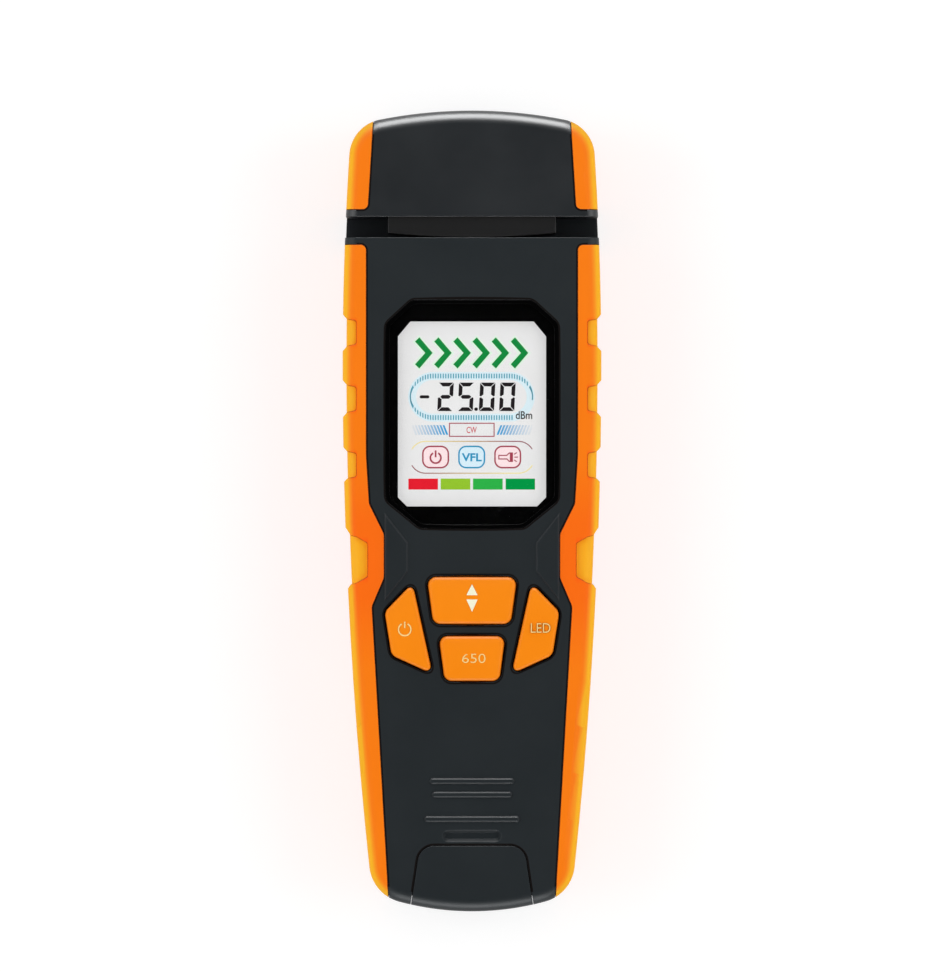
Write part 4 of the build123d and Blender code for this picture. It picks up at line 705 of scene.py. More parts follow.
def key_cap(corners, stems, drop, sizes):
    """A key: flange, straight walls, a rounded rim and a softly crowned top."""
    bm = bmesh.new()
    top = flat_face(bm, corners, KEY_FLANGE_HIGH - drop)
    top = lift(bm, [top], sizes.key_rim_height - KEY_FLANGE_HIGH + drop)[0]
    bmesh.ops.bevel(
        bm, geom=list(top.edges), offset=sizes.key_soft_edge, offset_type="OFFSET", affect="EDGES",
        segments=7, profile=0.5, material=-1, clamp_overlap=True)
    rim_level = sizes.key_rim_height - 0.01 * MM
    lows = [min(c[axis] for c in corners) for axis in (0, 1)]
    highs = [max(c[axis] for c in corners) for axis in (0, 1)]
    for axis in (0, 1):
        normal = (1, 0, 0) if axis == 0 else (0, 1, 0)
        place = lows[axis] + KEY_STEP
        while place < highs[axis]:
            flat = [
                face for face in bm.faces
                if face.normal.z > 0.999 and face.calc_center_median().z > rim_level]
            parts = {item for face in flat for item in (face, *face.edges, *face.verts)}
            point = (place, 0, 0) if axis == 0 else (0, place, 0)
            bmesh.ops.bisect_plane(bm, geom=list(parts), plane_co=point, plane_no=normal, dist=0.001 * MM)
            place += KEY_STEP
    for vert in bm.verts:
        if vert.co.z > rim_level:
            share = min(1.0, max(0.0, inside(corners, vert.co) - sizes.key_soft_edge) / KEY_SPREAD)
            vert.co.z += sizes.key_crown * (1 - (1 - share) ** 2)
    flange = [(x, y, radius + FLANGE_CORNER) for x, y, radius in spread(corners, FLANGE_REACH)]
    plate(bm, flange, KEY_FLANGE_LOW - drop, KEY_FLANGE_HIGH - drop - PART_GAP)
    half = STEM_HALF
    for x, y in in_mm(stems):
        stem = box_corners(x - half, x + half, y - half, y + half, half - 0.01 * MM)
        plate(bm, stem, KEY_STEM_LOW, KEY_FLANGE_LOW - drop - PART_GAP)
    return bm


def spread(corners, reach):
    """An outline's corners moved out so that each side moves out by reach."""
    middle = centre_of(corners)
    moved = []
    count = len(corners)
    for index in range(count):
        here = Vector(corners[index][:2])
        arms = [(Vector(corners[(index + step) % count][:2]) - here).normalized() for step in (-1, 1)]
        bisector = -(arms[0] + arms[1]).normalized()
        if bisector.dot(here - middle) < 0:
            bisector.negate()
        half = arms[0].angle(arms[1]) / 2
        point = here + bisector * (reach / math.sin(half))
        moved.append((point.x, point.y, corners[index][2]))
    return moved


SPRING_WIRE = 0.35 * MM
SPRING_TURNS = 6
SPRING_STEPS = 20


def coil(low, high):
    """A coil spring along Y that fills the box from low to high."""
    bm = bmesh.new()
    middle = (low + high) / 2
    reach = (high.x - low.x) / 2 - SPRING_WIRE
    start = Vector((middle.x + reach, low.y + SPRING_WIRE, middle.z))
    verts = bmesh.ops.create_circle(
        bm, cap_ends=False, radius=SPRING_WIRE, segments=10, matrix=Matrix.Translation(start))["verts"]
    steps = SPRING_TURNS * SPRING_STEPS
    rise = (high.y - low.y - 2 * SPRING_WIRE) / steps
    edges = list({edge for vert in verts for edge in vert.link_edges})
    bmesh.ops.spin(
        bm, geom=[*verts, *edges], cent=middle, axis=(0, 1, 0), dvec=(0, rise, 0),
        angle=math.tau * SPRING_TURNS, steps=steps, use_merge=False, use_duplicate=False)
    bmesh.ops.holes_fill(bm, edges=[edge for edge in bm.edges if edge.is_boundary], sides=0)
    return bm


class IDENTIFIER_OT_springs(bpy.types.Operator):
    """Winds the jaw's two springs at their rest length, each on a mesh of its own; the real springs shorten
    as the jaw slides back
    """
    bl_idname = "identifier.springs"
    bl_label = "Jaw springs"

    def execute(self, context):
        for name in ("jaw_spring_left", "jaw_spring_right"):
            low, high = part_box(name)
            made = piece(
                name + "_coil", coil(low, high), "housing", MATERIALS["steel"], replaces=(name,))
            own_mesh(made)
        return {"FINISHED"}


def legend_levels(sizes):
    top = sizes.key_rim_height + sizes.key_crown
    return top - 0.1 * MM, top + sizes.legend_thickness


def power_glyph(bm, centre, radius, width, low, high, bar):
    """A ring open at its top with an upright bar in the gap."""
    arc_bar(bm, centre, radius, width, 118.0, 304.0, low, high, steps=28)
    half = width / 2
    upright = box_corners(centre[0] - half, centre[0] + half, centre[1] + bar[0], centre[1] + bar[1])
    plate(bm, upright, low, high)


# Display artwork, drawn on a grid of dots round the display's middle.

PANEL_TOP = 31.9 * MM
GLOW_TOP = PANEL_TOP + 0.006 * MM
FILL_TOP = PANEL_TOP + 0.005 * MM
ARROW = [(4.3, 15.6), (17.6, 0.0), (4.3, -15.6), (0.0, -11.4), (10.2, 0.0), (0.0, 11.4)]
ARROW_GLOW = [(4.3, 17.6), (20.0, 0.0), (4.3, -17.6), (-2.2, -11.2), (7.4, 0.0), (-2.2, 11.2)]
ARROW_STARTS = (-57.0, -37.85, -18.7, 0.45, 19.6, 38.75)
ARROW_HEIGHT = 61.1


def dots(corners, shift=(0.0, 0.0)):
    """Corners on the drawing grid, placed on the display."""
    return [
        (
            DISPLAY_MIDDLE[0] + (c[0] + shift[0]) * DOT,
            DISPLAY_MIDDLE[1] + (c[1] + shift[1]) * DOT,
            *[radius * DOT for radius in c[2:]],
        )
        for c in corners
    ]


def art_levels(sizes):
    return PANEL_TOP - 0.02 * MM, PANEL_TOP + sizes.art_thickness


DIGIT_WIDE = 15.2
DIGIT_TALL = 28.5
DIGIT_LINE = 3.8
DIGIT_GAP = 0.45
DIGIT_LEAN = 0.05
DIGIT_LOW = 2.9
DIGITS = ((-34.8, "abged"), (-14.4, "afgcd"), (6.8, "abcdef"), (27.1, "abcdef"))


def segment_shapes():
    """The seven bars of a digit, each as its corners."""
    w, h, t, g = DIGIT_WIDE, DIGIT_TALL, DIGIT_LINE, DIGIT_GAP
    m = h / 2
    return {
        "a": [(g, h), (w - g, h), (w - g - t, h - t), (g + t, h - t)],
        "d": [(g, 0), (w - g, 0), (w - g - t, t), (g + t, t)],
        "g": [
            (g + t * 0.45, m), (g + t, m + t / 2), (w - g - t, m + t / 2),
            (w - g - t * 0.45, m), (w - g - t, m - t / 2), (g + t, m - t / 2)],
        "f": [(0, h - g), (t, h - g - t), (t, m + g + t / 2), (t * 0.35, m + g), (0, m + g + 0.6)],
        "b": [
            (w, h - g), (w - t, h - g - t), (w - t, m + g + t / 2), (w - t * 0.35, m + g), (w, m + g + 0.6)],
        "e": [(0, g), (t, g + t), (t, m - g - t / 2), (t * 0.35, m - g), (0, m - g - 0.6)],
        "c": [(w, g), (w - t, g + t), (w - t, m - g - t / 2), (w - t * 0.35, m - g), (w, m - g - 0.6)],
    }


SCALE_RADIUS = 23.2
SCALE_THICK = 4.75
SCALE_THIN = 1.2
SCALE_LEFT = -39.1
SCALE_RIGHT = 38.0
SCALE_MIDDLE = 17.2
SCALE_GLOW = 1.6
TICK_PITCH = 2.55
TICK_WIDE = 1.25


def scale_edges(x, centre):
    """The outer and inner heights of the scale's round end at one place."""
    across = abs(x - centre)
    inner_wide, inner_tall = SCALE_RADIUS - SCALE_THIN, SCALE_RADIUS - SCALE_THICK
    outer = math.sqrt(max(0.0, SCALE_RADIUS ** 2 - across ** 2))
    inner = inner_tall * math.sqrt(max(0.0, 1 - (across / inner_wide) ** 2))
    return outer, inner


def tick_shapes(start, end, upper):
    """Upright ticks between two places along the top or the bottom of the scale."""
    shapes = []
    way = 1 if upper else -1
    place = start
    while place <= end:
        corners = []
        for x, side in ((place, 0), (place + TICK_WIDE, 0), (place + TICK_WIDE, 1), (place, 1)):
            if x < SCALE_LEFT:
                level = scale_edges(x, SCALE_LEFT)[side]
            elif x > SCALE_RIGHT:
                level = scale_edges(x, SCALE_RIGHT)[side]
            else:
                level = (SCALE_RADIUS, SCALE_RADIUS - SCALE_THICK)[side]
            corners.append((x, SCALE_MIDDLE + way * level))
        shapes.append(corners)
        place += TICK_PITCH
    return shapes


def crescent(centre, start, end, steps=22):
    """The scale's round end between two angles in degrees, thin at the side, thicker above and below."""
    inner_wide, inner_tall = SCALE_RADIUS - SCALE_THIN, SCALE_RADIUS - SCALE_THICK
    angles = [math.radians(start + (end - start) * step / steps) for step in range(steps + 1)]
    outer = [(centre + SCALE_RADIUS * math.cos(a), SCALE_MIDDLE + SCALE_RADIUS * math.sin(a)) for a in angles]
    inner = [
        (centre + inner_wide * math.cos(a), SCALE_MIDDLE + inner_tall * math.sin(a))
        for a in reversed(angles)]
    return outer + inner


# Operators.

HEAD_LAMP_SHARE = 3.1


class IDENTIFIER_OT_stage(bpy.types.Operator):
    """Makes the floor, the sky, the lamps and the camera"""
    bl_idname = "identifier.stage"
    bl_label = "Stage"

    def execute(self, context):
        values = context.scene.identifier_stage
        scene = context.scene
        scene.view_settings.view_transform = "Standard"
        bm = bmesh.new()
        bmesh.ops.create_grid(bm, x_segments=8, y_segments=8, size=4.0)
        mesh = bpy.data.meshes.new("floor")
        bm.to_mesh(mesh)
        bm.free()
        floor = bpy.data.objects.new("floor", mesh)
        scene.collection.objects.link(floor)
        mesh.materials.append(floor_material())
        scene.world = sky()
        for name, place, size, power, lights_faces in (
            ("lamp_left", (-0.95, 0.05, 0.75), (0.7, 1.1), values.side_lamps, True),
            ("lamp_right", (0.95, 0.05, 0.75), (0.7, 1.1), values.side_lamps, True),
            ("lamp_head", (0.0, 1.1, 0.45), (0.9, 0.9), HEAD_LAMP_SHARE * values.end_lamps, False),
            ("lamp_tail", (0.0, -1.1, 0.42), (0.9, 0.6), values.end_lamps, False),
        ):
            light = bpy.data.lights.new(name, "AREA")
            light.shape = "RECTANGLE"
            light.size, light.size_y = size
            light.energy = power
            lamp = bpy.data.objects.new(name, light)
            lamp.location = place
            lamp.rotation_euler = (Vector(place) - Vector((0, 0, 0.02))).to_track_quat("Z", "Y").to_euler()
            lamp.visible_camera = False
            lamp.visible_diffuse = lights_faces
            scene.collection.objects.link(lamp)
        camera_data = bpy.data.cameras.new("camera")
        camera_data.lens = values.lens
        camera_data.sensor_width = 36.0
        camera_data.clip_end = 20.0
        camera = bpy.data.objects.new("camera", camera_data)
        middle = Vector(values.view_middle)
        away = values.view_height / (camera_data.sensor_width / camera_data.lens)
        camera.location = middle + Vector((0, 0, away))
        scene.collection.objects.link(camera)
        scene.camera = camera
        return {"FINISHED"}


FLOOR_GLOW = 0.68
SKY_WHITE = 0.58
SKY_DARK = 0.975


def floor_material():
    """A pale floor that looks white to the eye and in reflections, and keeps the shadow."""
    material, tree, skin, place, _ = blank_material("Pale floor")
    noise = node(tree, "ShaderNodeTexNoise", {"Scale": 3.0, "Detail": 3.0})
    tree.links.new(place, noise.inputs["Vector"])
    body = blended(tree, (0.415, 0.415, 0.415), (0.425, 0.425, 0.425), noise.outputs["Fac"])
    tree.links.new(body, skin.inputs["Base Color"])
    skin.inputs["Roughness"].default_value = 0.9
    skin.inputs["Specular IOR Level"].default_value = 0.0
    skin.inputs["Emission Color"].default_value = (1, 1, 1, 1)
    path = node(tree, "ShaderNodeLightPath")
    seen = node(tree, "ShaderNodeMath", operation="ADD", use_clamp=True)
    also = node(tree, "ShaderNodeMath", operation="ADD", use_clamp=True)
    strength = node(tree, "ShaderNodeMath", {1: FLOOR_GLOW}, operation="MULTIPLY")
    tree.links.new(path.outputs["Is Camera Ray"], seen.inputs[0])
    tree.links.new(path.outputs["Is Glossy Ray"], seen.inputs[1])
    tree.links.new(seen.outputs["Value"], also.inputs[0])
    tree.links.new(path.outputs["Is Transmission Ray"], also.inputs[1])
    tree.links.new(also.outputs["Value"], strength.inputs[0])
    tree.links.new(strength.outputs["Value"], skin.inputs["Emission Strength"])
    return material


def sky():
    """Soft light from all round, white at the horizon and dim straight above, where the camera is."""
    world = bpy.data.worlds.new("studio")
    world.use_nodes = True
    tree = world.node_tree
    tree.nodes.clear()
    output = tree.nodes.new("ShaderNodeOutputWorld")
    light = tree.nodes.new("ShaderNodeBackground")
    place = tree.nodes.new("ShaderNodeTexCoord").outputs["Generated"]
    level = node(
        tree, "ShaderNodeMapRange",
        {"From Min": SKY_WHITE, "From Max": SKY_DARK, "To Min": 1.0, "To Max": 0.0},
        interpolation_type="SMOOTHSTEP")
    tree.links.new(axes(tree, place)["Z"], level.inputs["Value"])
    tree.links.new(level.outputs["Result"], light.inputs["Color"])
    tree.links.new(light.outputs["Background"], output.inputs["Surface"])
    return world


class IDENTIFIER_OT_finishes(bpy.types.Operator):
    """Makes the materials and gives each solid its own finish"""
    bl_idname = "identifier.finishes"
    bl_label = "Finishes"

    def execute(self, context):
        finish_materials(context.scene.identifier_colours)
        slots = {row["node"]: row["material_slot"] for row in frame["record"]["subparts"]}
        for name, solid in NODES.items():
            for index in range(len(solid.material_slots)):
                solid.material_slots[index].material = MATERIALS[LIT_AND_SHADED_COPIES.get(name, slots[name])]
        return {"FINISHED"}


class IDENTIFIER_OT_keys(bpy.types.Operator):
    """Makes the four softly crowned keys"""
    bl_idname = "identifier.keys"
    bl_label = "Keys"

    def execute(self, context):
        sizes = context.scene.identifier_sizes
        for name, (corners, body, stems, drop) in KEYS.items():
            cap = key_cap(corners, stems, drop, sizes)
            piece(name + "_cap", cap, body, MATERIALS["key_plastic"], replaces=(name,))
        return {"FINISHED"}


class IDENTIFIER_OT_legends(bpy.types.Operator):
    """Prints the keys' legends"""
    bl_idname = "identifier.legends"
    bl_label = "Key legends"

    def execute(self, context):
        low, high = legend_levels(context.scene.identifier_sizes)
        scroll = bmesh.new()
        plate(scroll, in_mm([(-1.33, -19.95), (1.33, -19.95), (0.0, -17.35)]), low, high)
        plate(scroll, in_mm([(-1.33, -20.95), (1.33, -20.95), (0.0, -23.9)]), low, high)
        power = bmesh.new()
        power_glyph(
            power, (-15.94 * MM, -28.07 * MM), 1.47 * MM, 0.34 * MM, low, high, (0.35 * MM, 1.85 * MM))
        lamp = bmesh.new()
        lettering(lamp, "LED", 2.25 * MM, (16.25 * MM, -27.7 * MM), low, high, weight=-0.004, width=4.64 * MM)
        laser = bmesh.new()
        lettering(laser, "650", 2.2 * MM, (0.43 * MM, -34.9 * MM), low, high, weight=-0.006, width=5.55 * MM)
        for name, bm, body, print_name in (
            ("scroll_legend", scroll, "scroll_rocker", "legend"),
            ("power_legend", power, "power_button", "legend_warm"),
            ("lamp_legend", lamp, "lamp_button", "legend_warm"),
            ("laser_legend", laser, "laser_button", "legend_warm"),
        ):
            piece(name, bm, body, MATERIALS[print_name], sharp=20.0)
        return {"FINISHED"}


def window_outline(inset, top_bulge=0.01):
    """The window's outline in metres, drawn in by inset, with its sides slightly bulged."""
    return spread(in_mm([
        (-20.5, 2.5, 2.8), (-12.4, -4.1, 2.8), (0.0, -4.4, 330.0), (12.4, -4.1, 2.8), (20.5, 2.5, 2.8),
        (20.8, 23.45, 1000.0), (20.5, 44.4, 2.8), (14.3, 50.1, 2.8), (0.0, 50.1 + top_bulge, 330.0),
        (-14.3, 50.1, 2.8), (-20.5, 44.4, 2.8), (-20.8, 23.45, 1000.0)]), -inset)


def shifted(path, reach):
    """An open path's corners moved to its left by reach."""
    moved = []
    for index, corner in enumerate(path):
        here = Vector(corner[:2])
        ends = [Vector(other[:2]) for other in path[max(0, index - 1):index + 2]]
        ways = [(second - first).normalized() for first, second in zip(ends, ends[1:])]
        lefts = [Vector((-way.y, way.x)) for way in ways]
        across = (lefts[0] + lefts[-1]).normalized()
        point = here + across * (reach / across.dot(lefts[0]))
        radius = corner[2] if len(corner) == 3 else 0.0
        if radius:
            radius -= math.copysign(reach, ways[0].cross(ways[-1]))
        moved.append((point.x, point.y, radius))
    return moved


def ribbon(bm, path, near, far, low, high):
    """A flat band beside an open path, between two distances to its left."""
    plate(bm, shifted(path, near) + shifted(path, far)[::-1], low, high)


BODY_GRIP_LINE = [
    (19.98, -89.0), (23.75, -22.6, 3.0), (20.85, -15.8, 2.5), (20.85, -5.5, 2.5), (24.4, 1.7, 2.0),
    (25.1, 13.5, 20.0), (25.1, 63.1, 1.3), (27.4, 63.1)]
HEAD_GRIP_LINE = [(27.4, 71.5), (24.7, 71.5, 1.3), (23.61, 89.3)]
FLAP_LINE = [(-13.9, -90.3), (-12.3, -79.4, 3.8), (12.3, -79.4, 3.8), (13.9, -90.3)]
# Dark strips in the flap's side gaps: painted shade.
FLAP_SHADE_STRIP = [(14.06, -91.3), (14.18, -91.3), (14.485, -93.35), (14.365, -93.35)]
FLAP_SHADE_BOTTOM = 5.1 * MM
FLAP_SHADE_TOP = 31.0 * MM
# Heights of the dark strips that paint the shade along the seams.
SEAM_LOW = 33.97 * MM
SEAM_HIGH = 34.015 * MM


def across_middle(path):
    """A path mirrored across the middle, still with the same side to its left."""
    return [(-corner[0], *corner[1:]) for corner in reversed(path)]


class IDENTIFIER_OT_seams(bpy.types.Operator):
    """Draws dark strips of painted shade along the seams of the front face and in the gaps at the flap's
    sides
    """
    bl_idname = "identifier.seams"
    bl_label = "Seam lines"

    def execute(self, context):
        grips = bmesh.new()
        for path in (BODY_GRIP_LINE, HEAD_GRIP_LINE):
            for line in (path, across_middle(path)):
                ribbon(grips, in_mm(line), 0.02 * MM, 0.42 * MM, SEAM_LOW, SEAM_HIGH)
        flap = bmesh.new()
        ribbon(flap, in_mm(FLAP_LINE), 0.22 * MM, 0.6 * MM, SEAM_LOW, SEAM_HIGH)
        keys = bmesh.new()
        for corners, *_ in KEYS.values():
            outer, inner = (
                [(x, y, radius + reach) for x, y, radius in spread(corners, reach)]
                for reach in (0.75 * MM, 0.42 * MM))
            ring(keys, outer, inner, SEAM_LOW, SEAM_HIGH)
        window = bmesh.new()
        ring(window, window_outline(-0.4 * MM, 0.35), window_outline(-0.03 * MM), SEAM_LOW, SEAM_HIGH)
        for name, bm in (
            ("seam_shadow_grips", grips), ("seam_shadow_flap", flap), ("seam_shadow_keys", keys), ("seam_shadow_window", window),
        ):
            piece(name, bm, "housing", MATERIALS["seam_line"], sharp=20.0)
        shade_strips = bmesh.new()
        for side in (-1, 1):
            plate(shade_strips, in_mm([(side * x, y) for x, y in FLAP_SHADE_STRIP]), FLAP_SHADE_BOTTOM, FLAP_SHADE_TOP)
        piece("flap_gap_shade", shade_strips, "flap", MATERIALS["seam_line"], sharp=20.0)
        return {"FINISHED"}


OPENING = [
    (-65.1, -92.5, 1.2), (65.1, -92.5, 1.2), (74.1, -83.5, 1.2), (74.1, 77.6, 1.2),
    (61.7, 92.5, 1.2), (-61.7, 92.5, 1.2), (-74.1, 77.6, 1.2), (-74.1, -83.5, 1.2)]
MASK_LOW = 32.8 * MM


class IDENTIFIER_OT_window(bpy.types.Operator):
    """Makes the clear window with the black print behind it"""
    bl_idname = "identifier.window"
    bl_label = "Window"

    def execute(self, context):
        sizes = context.scene.identifier_sizes
        split = sizes.window_top - sizes.pane_thickness
        mask = bmesh.new()
        ring(mask, window_outline(0.15 * MM), dots(OPENING), MASK_LOW, split)
        ring(mask, window_outline(0.15 * MM), window_outline(1.0 * MM), split + 0.002 * MM, sizes.window_top)
        piece(
            "window_mask", mask, "housing", MATERIALS["window_plastic"],
            replaces=("display_lens",))
        pane = bmesh.new()
        plate(pane, window_outline(1.005 * MM), split + 0.01 * MM, sizes.window_top)
        piece("window_pane", pane, "housing", MATERIALS["window_pane"], sharp=50.0)
        return {"FINISHED"}


class IDENTIFIER_OT_display(bpy.types.Operator):
    """Makes the display's lit panel"""
    bl_idname = "identifier.display"
    bl_label = "Display panel"

    def execute(self, context):
        low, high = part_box("display_glass")
        bm = bmesh.new()
        top = plate(bm, box_corners(low.x, high.x, low.y, high.y, 0.4 * MM), low.z, high.z)
        bmesh.ops.bevel(
            bm, geom=list(top.edges), offset=0.12 * MM, offset_type="OFFSET", affect="EDGES",
            segments=2, profile=0.5, material=-1)
        piece(
            "display_panel", bm, "housing", MATERIALS["display_glass"],
            replaces=("display_glass",))
        return {"FINISHED"}


def art_piece(name, bm, material):
    return piece(name, bm, "housing", material, sharp=20.0)


class IDENTIFIER_OT_arrows(bpy.types.Operator):
    """Draws the display's direction arrows"""
    bl_idname = "identifier.arrows"
    bl_label = "Direction arrows"

    def execute(self, context):
        low, high = art_levels(context.scene.identifier_sizes)
        bm = bmesh.new()
        for start in ARROW_STARTS:
            plate(bm, dots(ARROW, (start, ARROW_HEIGHT)), low, high)
        art_piece("display_arrows", bm, lit("Arrow green", context.scene.identifier_colours.arrows))
        glow = bmesh.new()
        for start in ARROW_STARTS:
            plate(glow, dots(ARROW_GLOW, (start, ARROW_HEIGHT)), low, GLOW_TOP)
        art_piece("display_arrow_glow", glow, lit("Arrow glow", paint(216, 240, 220)))
        return {"FINISHED"}


class IDENTIFIER_OT_reading(bpy.types.Operator):
    """Draws the display's digits and unit"""
    bl_idname = "identifier.reading"
    bl_label = "Reading"

    def execute(self, context):
        low, high = art_levels(context.scene.identifier_sizes)
        bm = bmesh.new()
        shapes = segment_shapes()
        for left, shown in DIGITS:
            for letter in shown:
                leaning = [(x + DIGIT_LEAN * y, y) for x, y in shapes[letter]]
                plate(bm, dots(leaning, (left, DIGIT_LOW)), low, high)
        plate(bm, dots(box_corners(-52.3, -42.7, 15.6, 18.7, 1.4)), low, high)
        plate(bm, dots(box_corners(2.3, 5.9, 3.1, 6.5, 1.5)), low, high)
        art_piece("display_digits", bm, lit("Digit black", context.scene.identifier_colours.digits))
        unit = bmesh.new()
        middle = dots([(52.0, -1.1)])[0]
        lettering(unit, "dBm", 7.9 * DOT, middle, low, high, weight=0.012, width=16.5 * DOT)
        art_piece("display_unit", unit, lit("Unit grey", paint(48, 46, 48)))
        return {"FINISHED"}


class IDENTIFIER_OT_scale(bpy.types.Operator):
    """Draws the ticks round the display's reading"""
    bl_idname = "identifier.scale"
    bl_label = "Scale"

    def execute(self, context):
        low, high = art_levels(context.scene.identifier_sizes)
        ticks = bmesh.new()
        for shape in tick_shapes(-60.0, 57.0, True) + tick_shapes(-60.0, 41.0, False):
            plate(ticks, dots(shape), low, high)
        glow = bmesh.new()
        outer, inner = (
            dots(box_corners(
                SCALE_LEFT - reach, SCALE_RIGHT + reach, SCALE_MIDDLE - reach, SCALE_MIDDLE + reach,
                reach - 0.05))
            for reach in (SCALE_RADIUS + SCALE_GLOW, SCALE_RADIUS - SCALE_THICK - SCALE_GLOW))
        ring(glow, outer, inner, low, GLOW_TOP)
        art_piece("display_scale_glow", glow, lit("Scale glow", paint(214, 233, 240)))
        colour = context.scene.identifier_colours.scale
        art_piece("display_ticks", ticks, lit("Tick blue", colour))
        ends = bmesh.new()
        plate(ends, dots(crescent(SCALE_LEFT, 150.0, 210.0)), low, high - 0.005 * MM)
        plate(ends, dots(crescent(SCALE_RIGHT, 30.0, -9.0)), low, high - 0.005 * MM)
        art_piece("display_scale_ends", ends, lit("Scale blue", scaled(colour, 0.75)))
        return {"FINISHED"}


HATCH = [(24.6, -20.8), (26.6, -20.8), (30.5, -11.2), (28.5, -11.2)]
HATCH_COUNT = 11
HATCH_PITCH = 3.1


class IDENTIFIER_OT_mode(bpy.types.Operator):
    """Draws the display's mode box and the hatching beside it"""
    bl_idname = "identifier.mode"
    bl_label = "Mode box"

    def execute(self, context):
        low, high = art_levels(context.scene.identifier_sizes)
        colours = context.scene.identifier_colours
        strong, ground = paint(0, 150, 208), colours.ground
        for name, side in (("left", -1), ("right", 1)):
            bm = bmesh.new()
            shape = HATCH if side > 0 else [(0.9 - x, y) for x, y in HATCH]
            for count in range(HATCH_COUNT):
                plate(bm, dots(shape, (side * HATCH_PITCH * count, 0.0)), low, high)
            art_piece("display_hatch_" + name, bm, lit(
                "Hatch " + name, strong, far=scaled(ground, 0.97),
                start=side * 27.0 * DOT, end=side * 62.0 * DOT))
        frame_shape = bmesh.new()
        outer = dots(box_corners(-23.0, 22.6, -22.9, -8.8))
        inner = dots(box_corners(-22.0, 21.6, -21.9, -9.8))
        ring(frame_shape, outer, inner, low, high)
        maroon = lit("Maroon line", colours.maroon)
        art_piece("display_mode_frame", frame_shape, maroon)
        words = bmesh.new()
        lettering(words, "CW", 6.3 * DOT, dots([(-0.4, -16.0)])[0], low, high, weight=0.008, width=10.2 * DOT)
        art_piece("display_mode_words", words, lit("Mode red", paint(196, 52, 66)))
        return {"FINISHED"}


ICON_MIDDLES = (-36.45, -0.3, 35.75)
ICON_HIGH = -31.7
ICON_LOW = -54.5
ICON_HALF = 13.5
ICON_LINE = 1.5
ICON_RADIUS = 8.0
TORCH_OUTER = [
    (26.3, -45.6), (34.7, -45.6), (37.0, -48.0), (41.0, -48.0),
    (41.0, -38.5), (37.0, -38.5), (34.7, -40.9), (26.3, -40.9)]
TORCH_INNER = [
    (27.4, -44.5), (35.1, -44.5), (37.5, -46.9), (37.9, -46.9),
    (37.9, -39.6), (37.5, -39.6), (35.1, -42.0), (27.4, -42.0)]
TORCH_RAYS = (
    ((42.2, -40.4), (44.8, -38.6)),
    ((42.4, -43.2), (46.0, -43.2)),
    ((42.2, -46.0), (44.8, -47.8)),
)
LINE_HALF = 46.5
LINE_BEND = 15.8
LINE_WIDTH = 1.0
LINE_SWEEP = 60.0


def icon_corners(middle, inset=0.0):
    """The corners of an icon's frame on the display, drawn in by inset."""
    half = ICON_HALF - inset
    return dots(box_corners(
        middle - half, middle + half, ICON_LOW + inset, ICON_HIGH - inset, ICON_RADIUS - inset))


def icon_frame(bm, middle, low, high):
    ring(bm, icon_corners(middle), icon_corners(middle, ICON_LINE), low, high)


class IDENTIFIER_OT_icons(bpy.types.Operator):
    """Draws the display's three icons and the lines round them"""
    bl_idname = "identifier.icons"
    bl_label = "Icons"

    def execute(self, context):
        low, high = art_levels(context.scene.identifier_sizes)
        colours = context.scene.identifier_colours
        maroon = lit("Icon maroon", colours.maroon)
        blue = lit("Icon blue", colours.blue)
        for name, places, tint in (
            ("outer", (ICON_MIDDLES[0], ICON_MIDDLES[2]), paint(248, 224, 226)),
            ("middle", (ICON_MIDDLES[1],), paint(212, 234, 244)),
        ):
            fill = bmesh.new()
            for middle in places:
                plate(fill, icon_corners(middle, ICON_LINE), low, FILL_TOP)
            art_piece("display_icon_fill_" + name, fill, lit("Icon fill " + name, tint))
        frames = bmesh.new()
        icon_frame(frames, ICON_MIDDLES[0], low, high)
        icon_frame(frames, ICON_MIDDLES[2], low, high)
        art_piece("display_icon_frames", frames, maroon)
        middle_frame = bmesh.new()
        icon_frame(middle_frame, ICON_MIDDLES[1], low, high)
        lettering(
            middle_frame, "VFL", 8.2 * DOT, dots([(-0.2, -43.4)])[0], low, high,
            weight=0.028, width=20.0 * DOT)
        art_piece("display_icon_middle", middle_frame, blue)
        power = bmesh.new()
        power_glyph(power, dots([(-36.4, -43.9)])[0], 5.3 * DOT, 1.7 * DOT, low, high, (0.6 * DOT, 7.4 * DOT))
        art_piece("display_icon_power", power, maroon)
        torch = bmesh.new()
        ring(torch, dots(TORCH_OUTER), dots(TORCH_INNER), low, high)
        for start, end in TORCH_RAYS:
            near, far = Vector(start), Vector(end)
            along = (far - near).normalized()
            across = Vector((-along.y, along.x)) * 0.5
            shape = [near + across, near - across, far - across, far + across]
            plate(torch, dots([tuple(corner) for corner in shape]), low, high)
        art_piece("display_icon_torch", torch, maroon)
        yellow = paint(240, 225, 150)
        brown = paint(140, 70, 84)
        for name, height, way in (("upper", -27.4, 1), ("lower", -59.3, -1)):
            line = bmesh.new()
            half = LINE_WIDTH / 2
            plate(line, dots(box_corners(-LINE_HALF, LINE_HALF, height - half, height + half)), low, high)
            for side in (-1, 1):
                centre = dots([(side * LINE_HALF, height - way * LINE_BEND)])[0]
                start = 90.0 if way > 0 else 270.0
                sweep = -side * way * LINE_SWEEP
                arc_bar(line, centre, LINE_BEND * DOT, LINE_WIDTH * DOT, start, sweep, low, high, steps=14)
            first, last = (yellow, brown) if way > 0 else (brown, yellow)
            art_piece("display_line_" + name, line, lit(
                "Line " + name, first, far=last, start=-50.0 * DOT, end=40.0 * DOT))
        return {"FINISHED"}


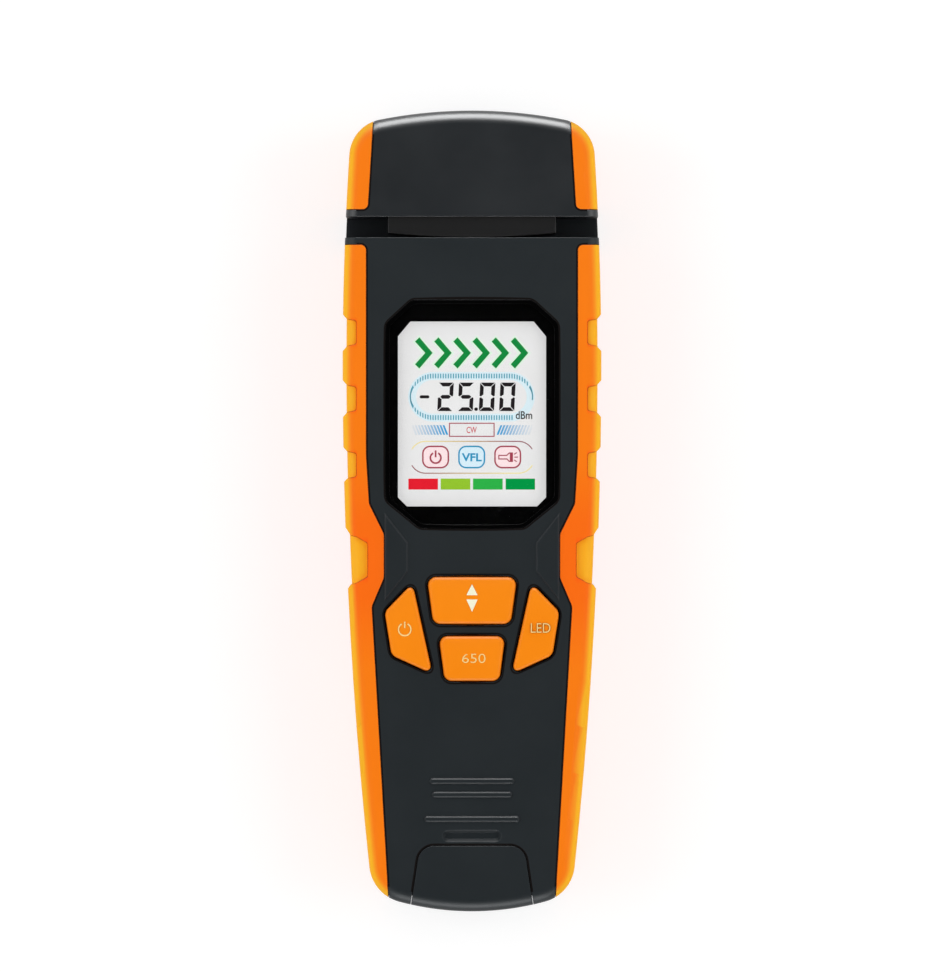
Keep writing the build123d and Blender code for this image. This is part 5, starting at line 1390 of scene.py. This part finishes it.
LEVELS = (
    ("red", -63.7, -34.1, paint(226, 32, 48)),
    ("lime", -31.3, -1.7, paint(145, 193, 48)),
    ("green", 1.0, 30.7, paint(45, 173, 71)),
    ("deep", 33.7, 63.1, paint(5, 148, 68)),
)


class IDENTIFIER_OT_levels(bpy.types.Operator):
    """Draws the display's four level bars"""
    bl_idname = "identifier.levels"
    bl_label = "Level bars"

    def execute(self, context):
        low, high = art_levels(context.scene.identifier_sizes)
        for name, left, right, colour in LEVELS:
            bm = bmesh.new()
            plate(bm, dots(box_corners(left, right, -75.7, -64.7, 0.3)), low, high)
            art_piece("display_level_" + name, bm, lit("Level " + name, colour))
        return {"FINISHED"}


OPERATORS = (
    IDENTIFIER_OT_stage, IDENTIFIER_OT_finishes, IDENTIFIER_OT_keys, IDENTIFIER_OT_legends,
    IDENTIFIER_OT_springs, IDENTIFIER_OT_seams, IDENTIFIER_OT_window, IDENTIFIER_OT_display,
    IDENTIFIER_OT_arrows, IDENTIFIER_OT_reading, IDENTIFIER_OT_scale, IDENTIFIER_OT_mode,
    IDENTIFIER_OT_icons, IDENTIFIER_OT_levels,
)


class IDENTIFIER_PT_sidebar(bpy.types.Panel):
    """Lists the identifier's pieces and settings"""
    bl_idname = "IDENTIFIER_PT_sidebar"
    bl_label = "Fibre Identifier"
    bl_space_type = "VIEW_3D"
    bl_region_type = "UI"
    bl_category = "Identifier"

    def draw(self, context):
        for operator in OPERATORS:
            self.layout.operator(operator.bl_idname)
        for group in ("identifier_sizes", "identifier_colours", "identifier_stage"):
            values = getattr(context.scene, group)
            column = self.layout.column(heading=group.split("_")[1].capitalize())
            for name in values.__annotations__:
                column.prop(values, name)


CLASSES = (IdentifierSizes, IdentifierColours, IdentifierStage, *OPERATORS, IDENTIFIER_PT_sidebar)


def register():
    for item in CLASSES:
        bpy.utils.register_class(item)
    bpy.types.Scene.identifier_sizes = PointerProperty(type=IdentifierSizes)
    bpy.types.Scene.identifier_colours = PointerProperty(type=IdentifierColours)
    bpy.types.Scene.identifier_stage = PointerProperty(type=IdentifierStage)


def unregister():
    del bpy.types.Scene.identifier_stage
    del bpy.types.Scene.identifier_colours
    del bpy.types.Scene.identifier_sizes
    for item in reversed(CLASSES):
        bpy.utils.unregister_class(item)


def main():
    register()
    for operator in OPERATORS:
        getattr(bpy.ops.identifier, operator.bl_idname.split(".")[1])()


if __name__ == "__main__":
    main()
